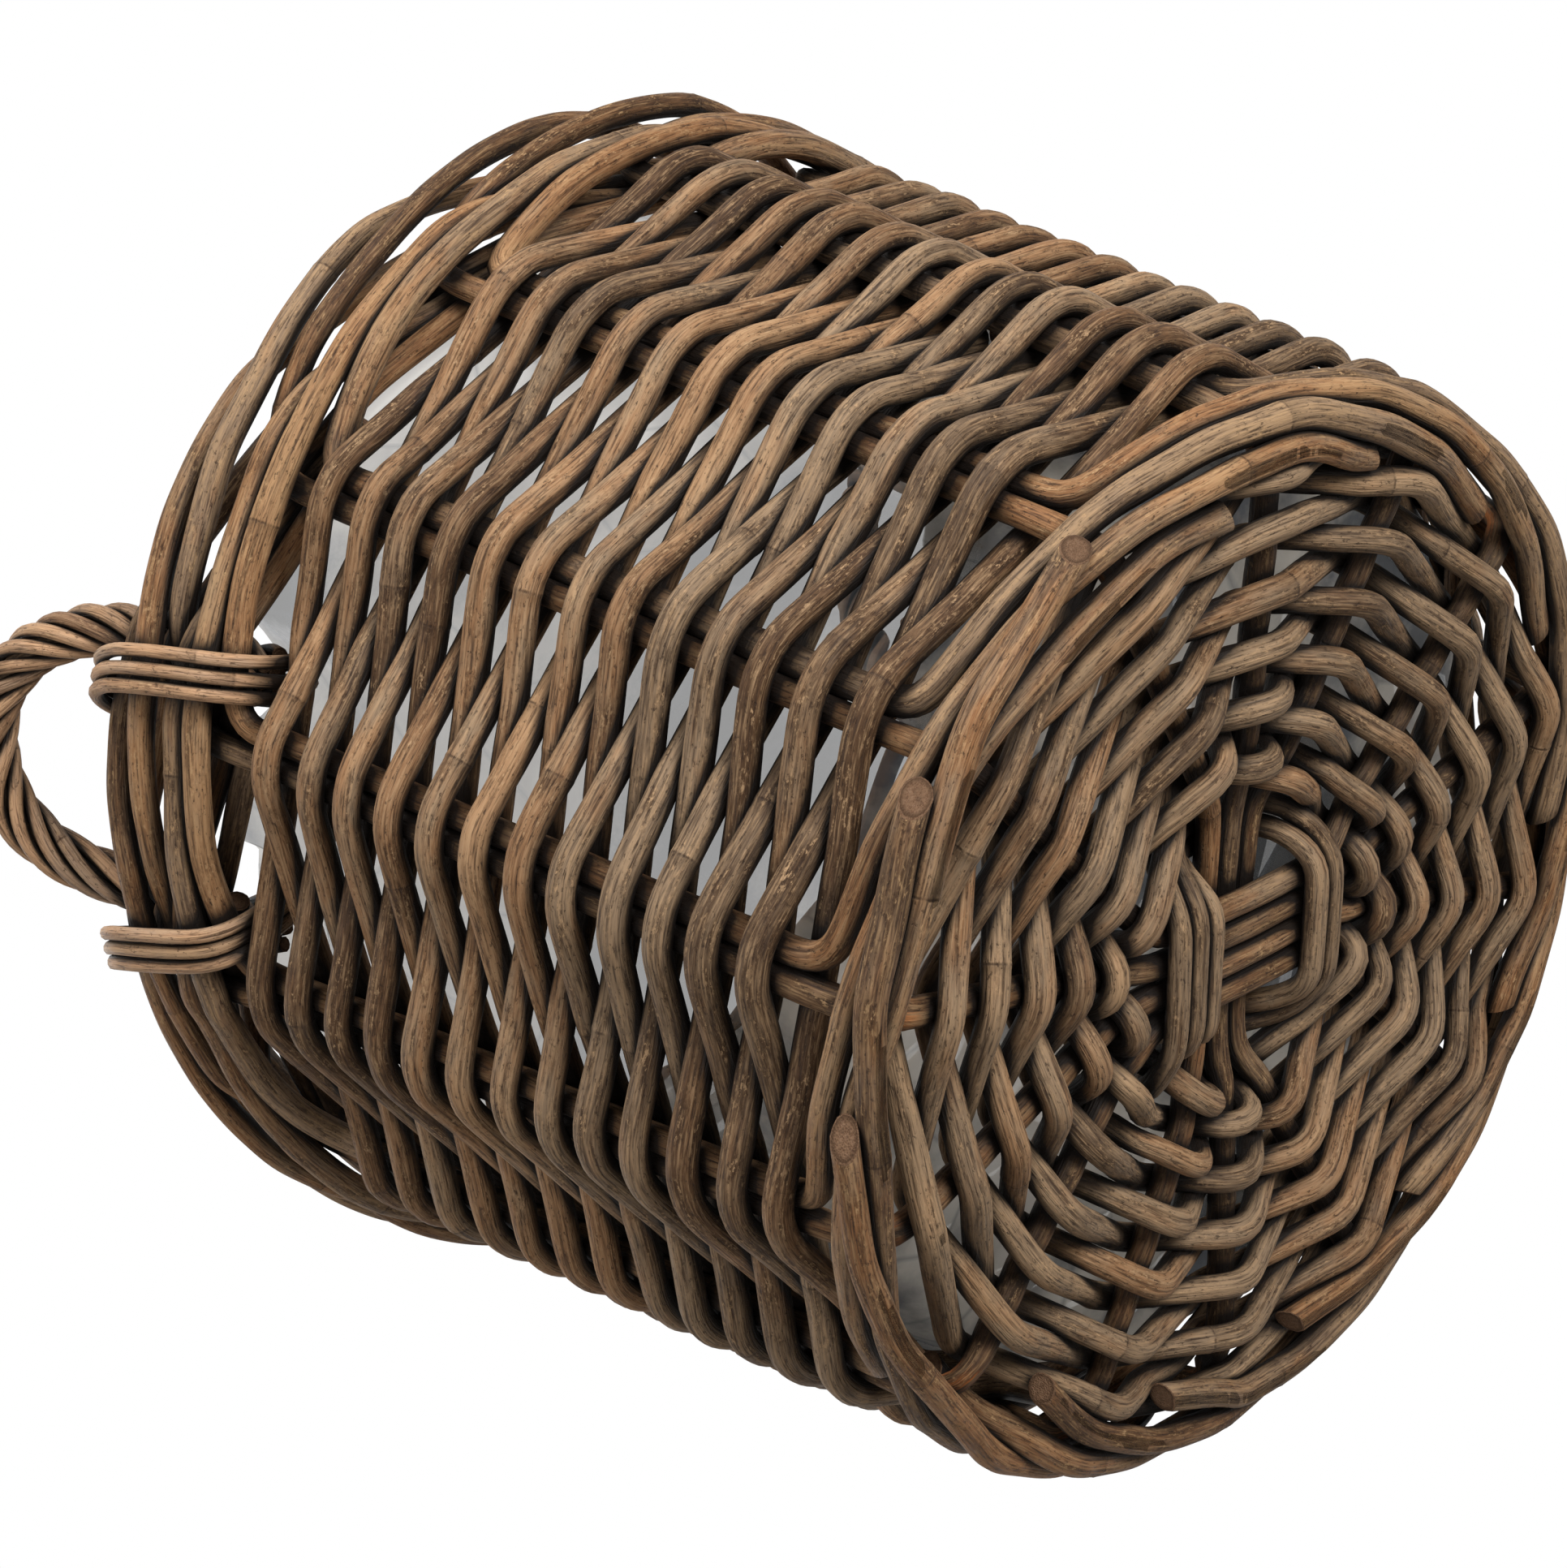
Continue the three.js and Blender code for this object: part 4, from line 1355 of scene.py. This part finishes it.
@dataclass
class BaseWeave:
    """The two spirals of the base, and the rod tied round the crossing of its sticks."""

    sizes: Sizes
    frame: StakeFrame
    rng: np.random.Generator
    rods: list[Rod] = field(default_factory=list)
    turns: float = 5.5
    first_pair: int = 5
    first_row: float = 66.0
    last_row: float = 208.0
    radius: float = 5.75
    over_spoke: float = 4.6
    tie_radius: float = 4.9
    tie_width: float = 8.6
    tie_pitch: float = 9.2
    tie_steps: tuple[int, int] = (-2, 28)

    def spoke_at(self, index: int, radius: float) -> tuple[Array, Array]:
        """Where a spoke crosses a radius.

        Args:
            index: Number of the spoke's pair.
            radius: The radius.

        Returns:
            The crossing point and the spoke's direction.
        """
        join, edge = self.frame.spokes[index % self.sizes.pairs]
        run = (edge - join) * LEVEL
        flat = join * LEVEL
        a = float(run @ run)
        b = 2.0 * float(flat @ run)
        c = float(flat @ flat) - radius * radius
        share = (-b + math.sqrt(b * b - 4.0 * a * c)) / (2.0 * a)
        point = flat + run * share
        point[2] = self.sizes.base_height(radius)
        return point, unit(run)

    def make(self) -> None:
        """Draws the two spirals and the tie."""
        sizes = self.sizes
        steps = 2 * math.ceil(self.turns * sizes.pairs / 2.0)
        swing = (sizes.stake + sizes.base_weaver) / 2.0 + 0.3
        for thread, letter in enumerate("ab"):
            points = []
            start = self.first_pair + thread * sizes.pairs // 2
            for n in range(steps + 1):
                share = n / steps
                radius = self.first_row + (self.last_row - self.first_row) * share
                centre, outward = self.spoke_at(start + n, radius)
                centre[2] += (-swing if n % 2 == 1 else swing) + self.rng.normal(0.0, 0.3)
                slide = np.cross(UP, outward) * (self.over_spoke + self.rng.normal(0.0, 0.5))
                nudge = outward * self.rng.normal(0.0, 0.7)
                points += [centre - slide + nudge, centre + slide + nudge]
            tone = (0.3 + self.rng.uniform(-0.1, 0.1), 0.3)
            self.rods.append(Rod(f"base_spiral_{letter}", f"base_weaver_{letter}",
                                 rounded(np.array(points), 6.0), self.radius, Skin.WEAVER, 400 + thread,
                                 tone=tone))
        self.rods.append(self.tie())

    def tie(self) -> Rod:
        """Draws the rod wound twice round the crossing: under the four sticks, over the three.

        Returns:
            The rod.
        """
        sizes = self.sizes
        across = self.tie_width
        corner = corner_radius(sizes.stake)
        pitch = sizes.stick_pitch
        first = 1.5 * pitch + corner + 7.0
        level = sizes.base_height(first + 2.0 * self.tie_pitch)
        swing = (sizes.stake + sizes.gap) / 2.0 + (sizes.stake + across) / 2.0 + 0.9
        three = pitch + corner + across / 2.0
        four = three + pitch / 2.0
        points = []
        for i in range(*self.tie_steps):
            x = first + self.tie_pitch * i / 12.0
            y = x + pitch / 2.0
            bend_x = x - across / 4.0
            bend_y = y - across / 3.0
            spots = (
                (x, -four, -1), (x, four, -1), (bend_x, bend_y, 0), (three, y, 1), (-three, y, 1),
                (-bend_x, bend_y, 0), (-x, four, -1), (-x, -four, -1), (-bend_x, -bend_y, 0),
                (-three, -y, 1), (three, -y, 1), (bend_x, -bend_y, 0),
            )
            at_x, at_y, side = spots[i % len(spots)]
            points.append(np.array([at_x, at_y, level + side * swing]))
        line = rounded(np.array(points), 6.0)
        return Rod("cross_tie", "base_tie", line, self.tie_radius, Skin.WEAVER, 410, tone=(0.35, 0.35))


@dataclass
class RopedHandle:
    """One arched handle: a core rod and six canes laid round it."""

    sizes: Sizes
    side: str
    first_pair: int
    rng: np.random.Generator
    axis: Rod | None = None
    core_radius: float = 5.2
    cane_radius: float = 3.35
    press: float = 0.2
    arch: Path = (
        (-5, 1, -46), (-2.2, 1, -20), (-1, 1, 8), (3, 1.01, 26), (16, 0.97, 46), (28, 0.85, 66),
        (36.5, 0.64, 82), (41.5, 0.34, 92), (43, 0, 95))

    def make_axis(self) -> Rod:
        """Draws the middle line of the rope.

        Returns:
            A stand-in rod as thick as the rope, to settle with the others.
        """
        sizes = self.sizes
        middle = sizes.pair_angle(self.first_pair + 0.5) + sizes.leg_shift / sizes.rim_radius
        outward = polar(middle, 1.0, 0.0)
        along = polar(middle + math.pi / 2.0, 1.0, 0.0)
        legs = sizes.rim_radius - corner_radius(sizes.stake) - sizes.rope_radius + self.press
        inset = legs * math.cos(sizes.step / 2.0)
        half = legs * math.sin(sizes.step / 2.0) + sizes.leg_spread
        first, second = (
            [outward * (inset + out) + along * side * half * share + UP * (sizes.rim_level + rise)
             for out, share, rise in self.arch]
            for side in (1.0, -1.0))
        line = rounded(np.array(first + second[-2::-1]), 12.0)
        radius = sizes.rope_radius - self.press
        self.axis = Rod(f"rope_{self.side}", "", line, radius, Skin.CANE, 500, stiff=True)
        return self.axis

    def make(self) -> list[Rod]:
        """Lays the canes round the settled middle line.

        Returns:
            The core and the canes.
        """
        sizes = self.sizes
        line = resample(self.axis.line, 3.0)
        s = lengths_along(line)
        tangents = unit(np.gradient(line, axis=0))
        outward = unit(line[len(line) // 2] * LEVEL)
        side = unit(outward[None, :] - tangents * (tangents @ outward)[:, None])
        other = np.cross(tangents, side)
        rods = [Rod(f"rope_core_{self.side}", f"handle_{self.side}_core", line, self.core_radius, Skin.CANE,
                    510 + self.first_pair, tone=(0.5, 0.5), sides=10)]
        for strand in range(sizes.strands):
            angle = TAU * strand / sizes.strands + TAU * (s - s[-1] / 2.0) / sizes.rope_lay
            angle = (angle + 0.06 * wander(self.rng, s, 60.0))[:, None]
            circle = sizes.rope_circle - 0.3 + 0.25 * wander(self.rng, s, 40.0)
            spiral = line + circle[:, None] * (np.cos(angle) * side + np.sin(angle) * other)
            tone = (0.45 + self.rng.uniform(-0.2, 0.2), 0.4 + self.rng.uniform(-0.2, 0.2))
            radius = self.cane_radius + self.rng.uniform(-0.15, 0.3)
            name = f"{self.side}_{strand + 1}"
            node = f"handle_{self.side}_strand_{strand + 1}"
            rods.append(Rod(f"rope_cane_{name}", node, spiral, radius, Skin.CANE,
                            520 + 10 * self.first_pair + strand, tone=tone, sides=10))
        return rods


@dataclass
class RimBinding:
    """Cane wound three times round the rim and a handle leg."""

    sizes: Sizes
    place: str
    index: int
    leg: int
    standoff: float
    radius: float = 3.1
    loop: Path = (
        (-31, 0, 0.15), (-20, 18, 0), (-6, 27.3, 0.05), (9, 27.3, 0.25), (22, 18.5, 0.5), (27.4, 3, 0.7),
        (26.5, -14, 0.8), (23, -34, 0.9), (19, -47.2, 0.95), (12.5, -57.5, 1), (-6, -57.5, 1),
        (-33.8, -50, 1), (-33.3, -20, 0.6))

    def make(self) -> Rod:
        """Draws the binding.

        Returns:
            The cane.
        """
        sizes = self.sizes
        corner = corner_radius(sizes.cane, 4)
        leg = sizes.leg_shift + self.leg * sizes.leg_spread
        top = leg - sizes.rope_radius - corner - sizes.cane_pitch * sizes.cane_turns - self.standoff
        bottom = sizes.spread + corner_radius(sizes.side_stake) + corner + 1.5
        points = []
        count = len(self.loop)
        for i in range(sizes.cane_turns * count - 1):
            out, rise, slant = self.loop[i % count]
            aside = top + (bottom - top) * slant + sizes.cane_pitch * i / count
            angle = sizes.pair_angle(self.index) + aside / sizes.rim_radius
            points.append(polar(angle, sizes.rim_radius + out, sizes.rim_level + rise))
        line = rounded(np.array(points), 6.0, 4.0)
        return Rod(f"binding_cane_{self.place}", f"binding_{self.place}", line, self.radius, Skin.CANE,
                   600 + self.index, tone=(0.62, 0.2), sides=10)


@dataclass
class FilmLiner:
    """The crinkled film cup inside the weave."""

    sizes: Sizes
    around: int = 280
    floor: float = 44.3
    floor_edge: float = 186.0
    inset: float = 18.2
    below_rim: float = 2.0
    leg_pairs: tuple[int, ...] = (1, 2, 8, 9)
    leg_push: float = 20.0
    leg_width: float = 0.1
    tail_push: float = 5.0
    # Each set of folds: how many there are and how deep they are
    folds: tuple[tuple[int, float], ...] = ((7, 2.2), (16, 1.5), (33, 1.0), (61, 0.6))
    # Each wave of the upper edge: how often it dips, how deep and where it starts
    sags: tuple[tuple[float, float, float], ...] = ((5.0, 6.0, 0.7), (11.0, 5.0, 0.0), (23.0, 3.0, 2.0))

    def beside_legs(self, angle: Array) -> Array:
        """How far the film is pushed in by the legs of the handles.

        Args:
            angle: Angles about the basket's axis.

        Returns:
            The push at each angle in millimetres.
        """
        push = np.zeros_like(angle)
        for pair in self.leg_pairs:
            leg = self.sizes.pair_angle(pair) + self.sizes.leg_shift / self.sizes.rim_radius
            off = np.mod(angle - leg + math.pi, TAU) - math.pi
            push += self.leg_push * np.exp(-(off / self.leg_width) ** 4)
        return push

    def make(self, finish: bpy.types.Material) -> bpy.types.Object:
        """Builds the film as one thin sheet drawn into a cup.

        Args:
            finish: The film's material.

        Returns:
            The object.
        """
        sizes = self.sizes
        rng = np.random.default_rng(31)
        corner = sizes.wall_radius(self.floor) - self.inset
        rise = [(r, self.floor) for r in np.linspace(6.0, self.floor_edge, 24)]
        rise += [(corner - 10.0 * (1.0 - k / 4.0) ** 2, self.floor + 5.5 * k) for k in range(5)]
        rise += [(sizes.wall_radius(z) - self.inset, z)
                 for z in np.linspace(self.floor + 28.0, sizes.rim_level - self.below_rim, 76)]
        angle = np.arange(self.around) * TAU / self.around
        radius, level = (np.repeat(np.array(values)[:, None], self.around, axis=1) for values in zip(*rise))
        folds = np.zeros_like(radius)
        for count, size in self.folds:
            for _ in range(3):
                pitch = rng.normal(0.0, 0.02) * count
                phase = rng.uniform(0.0, TAU)
                lean = level * pitch * 0.12 + 0.8 * np.sin(level * 0.03 + phase)
                turn = np.mod(angle * count + lean + phase, TAU)
                folds += size * (np.abs(turn / math.pi - 1.0) - 0.5) * 0.7
        wall = rise_from(self.floor, 24.0, level)
        radius = radius - wall * (np.maximum(folds, -1.2) + 1.4)
        radius -= self.tail_push * rise_from(sizes.rim_level - 75.0, 35.0, level)
        radius -= self.beside_legs(angle) * rise_from(sizes.last_row - 16.0, 30.0, level)
        sag = sum(deep * np.sin(count * angle + start) for count, deep, start in self.sags)
        level = level - rise_from(sizes.last_row, 40.0, level) * (10.0 + 0.7 * sag)
        level += (1.0 - wall) * np.clip(folds, -0.6, 2.5) * 0.8
        rows, cols = radius.shape
        quads = ring_faces(rows, cols)[:, [0, 3, 2, 1]]
        j = np.arange(cols)
        fan = np.stack([np.full(cols, rows * cols), (j + 1) % cols, j], axis=-1)
        flat = np.concatenate([polar(angle, radius, level).reshape(-1, 3), [[0.0, 0.0, self.floor]]])
        data = bpy.data.meshes.new("liner_cup")
        data.from_pydata((flat * MM).tolist(), [], quads.tolist() + fan.tolist())
        data.materials.append(finish)
        data.polygons.foreach_set("use_smooth", np.ones(len(data.polygons), dtype=bool))
        data.update()
        piece = bpy.data.objects.new("liner_cup", data)
        bpy.context.collection.objects.link(piece)
        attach(piece, "root")
        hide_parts("liner")
        return piece


@dataclass
class Studio:
    """Floor, lamps, white surroundings and the photograph's camera."""

    lens: float = 80.26
    place: tuple[float, float, float] = (1.0164, 0.62057, -0.737)
    turned: tuple[float, float, float] = (155.52241, 44.81192, 179.13644)
    fleck_mm: float = 10.0 / 3.0

    def axes(self) -> Matrix:
        """Returns the directions right, up and back in the photograph's view, as columns."""
        return Euler([math.radians(angle) for angle in self.turned]).to_matrix()

    def camera(self) -> None:
        """Sets the camera where the photograph was taken from."""
        data = bpy.data.cameras.new("view_from_below")
        data.sensor_width = 36.0
        data.lens = self.lens
        data.clip_end = 20.0
        camera = bpy.data.objects.new("view_from_below", data)
        camera.matrix_world = Matrix.Translation(self.place) @ self.axes().to_4x4()
        bpy.context.collection.objects.link(camera)
        bpy.context.scene.camera = camera

    def lamp(self, name: str, direction: Vector, distance: float, size: float, power: float) -> None:
        """Adds a soft square lamp that faces the basket.

        Args:
            name: Name of the lamp.
            direction: Direction from the basket to the lamp.
            distance: How far away it is, in metres.
            size: Its side in metres.
            power: Its power in watts.
        """
        data = bpy.data.lights.new(name, "AREA")
        data.size = size
        data.energy = power
        lamp = bpy.data.objects.new(name, data)
        way = direction.normalized()
        lamp.rotation_euler = way.to_track_quat("Z", "Y").to_euler()
        lamp.location = way * distance + Vector((0.0, 0.0, 0.2))
        bpy.context.collection.objects.link(lamp)

    def lamps(self) -> None:
        """Adds the key lamp above the photograph's view, one for the base, a fill and one overhead."""
        right, above, toward = self.axes().transposed()
        self.lamp("key", above + 0.35 * toward - 0.6 * right, 2.2, 0.9, 37.0)
        self.lamp("base_light", 0.8 * toward + 0.5 * above + 0.4 * right, 2.4, 1.0, 65.0)
        self.lamp("rim_fill", 0.9 * toward - 0.2 * above - 0.6 * right, 2.4, 1.6, 26.0)
        self.lamp("overhead", Vector((0.25, -0.35, 1.0)), 2.3, 1.8, 18.0)

    def surroundings(self) -> None:
        """Makes the surroundings white to the eye and soft on the basket."""
        world = bpy.data.worlds.new("white_studio")
        bpy.context.scene.world = world
        tree = empty_tree(world)
        path = add_node(tree, "ShaderNodeLightPath").outputs
        seen = path["Is Camera Ray"]
        for ray in ("Is Transmission Ray", "Is Glossy Ray"):
            seen = add_node(tree, "ShaderNodeMath", {0: seen, 1: path[ray]}, operation="MAXIMUM")
        soft = add_node(tree, "ShaderNodeBackground", {"Color": linear("f3efe9"), "Strength": 0.09})
        white = add_node(tree, "ShaderNodeBackground", {"Color": linear("ffffff"), "Strength": 1.0})
        mixed = add_node(tree, "ShaderNodeMixShader", {0: seen, 1: soft, 2: white})
        add_node(tree, "ShaderNodeOutputWorld", {"Surface": mixed})

    def floor(self) -> None:
        """Lays a pale floor that shows from above only and lets light through from below."""
        bpy.ops.mesh.primitive_plane_add(size=8.0, location=(0.0, 0.0, 0.0))
        floor = bpy.context.object
        floor.name = "pale_floor"
        material = bpy.data.materials.new("pale_paper")
        tree = empty_tree(material)
        place = add_node(tree, "ShaderNodeTexCoord").outputs["Object"]
        fleck = add_node(tree, "ShaderNodeTexNoise",
                         {"Vector": place, "Scale": 1.0 / (self.fleck_mm * MM), "Detail": 3.0})
        colour = fill_ramp(add_node(tree, "ShaderNodeValToRGB", {0: fleck.outputs["Fac"]}),
                           (0.3, "eceae6"), (0.7, "f2f0ec"))
        paper = add_node(tree, "ShaderNodeBsdfDiffuse", {"Color": colour})
        clear = add_node(tree, "ShaderNodeBsdfTransparent")
        side = add_node(tree, "ShaderNodeNewGeometry").outputs["Backfacing"]
        camera = add_node(tree, "ShaderNodeLightPath").outputs["Is Camera Ray"]
        front = add_node(tree, "ShaderNodeMath", {0: camera, 1: side}, operation="SUBTRACT", use_clamp=True)
        mixed = add_node(tree, "ShaderNodeMixShader", {0: front, 1: clear, 2: paper})
        add_node(tree, "ShaderNodeOutputMaterial", {"Surface": mixed})
        floor.data.materials.append(material)

    def build(self) -> None:
        """Builds the studio."""
        scene = bpy.context.scene
        scene.view_settings.view_transform = "Standard"
        self.surroundings()
        self.lamps()
        self.floor()


def main() -> None:
    """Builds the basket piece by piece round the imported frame."""
    logging.basicConfig(level=logging.INFO, format="%(name)s %(message)s")
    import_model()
    bpy.ops.object.select_all(action="DESELECT")
    studio = Studio()
    studio.camera()
    sizes = Sizes()
    rng = np.random.default_rng(14)
    frame = StakeFrame(sizes, rng)
    frame.make()
    wall = WallWeave(sizes, rng)
    wall.make()
    base = BaseWeave(sizes, frame, rng)
    base.make()
    handles = [RopedHandle(sizes, "right", 1, rng), RopedHandle(sizes, "left", 8, rng)]
    ropes = [handle.make_axis() for handle in handles]
    bindings = []
    for handle in handles:
        for letter, leg, standoff in (("a", -1, 1.0), ("b", 1, 7.0)):
            pair = handle.first_pair + (leg + 1) // 2
            bindings.append(RimBinding(sizes, f"{handle.side}_{letter}", pair, leg, standoff).make())
    rods = frame.rods + wall.rods + base.rods + bindings
    left = Settler(rods + ropes).settle()
    Log.info("settled %d rods, deepest overlap left %.2f mm", len(rods), left)
    rods += [rod for handle in handles for rod in handle.make()]
    maker = RodMaker(
        {
            Skin.WEAVER: RattanFinish("rattan_weaver_skin").build(),
            Skin.STAKE: RattanFinish("rattan_stake_skin", warm="825b3b", grey="7a644f",
                                     pale="a88863").build(),
            Skin.CANE: RattanFinish("rattan_cane_skin", warm="b28b69", grey="a58a72", dark="6b4e37",
                                    speck="3a2718", streak_mm=(1.2, 60.0), rough=0.5).build(),
        },
        CutFinish().build(),
        Shelter(rods),
    )
    for number, rod in enumerate(rods):
        piece = maker.build(rod, number)
        Log.info("%s stands for %s, %d faces", piece.name, rod.node, len(piece.data.polygons))
    liner = FilmLiner(sizes).make(FilmFinish().build())
    Log.info("%s stands for liner", liner.name)
    studio.build()


if __name__ == "__main__":
    main()
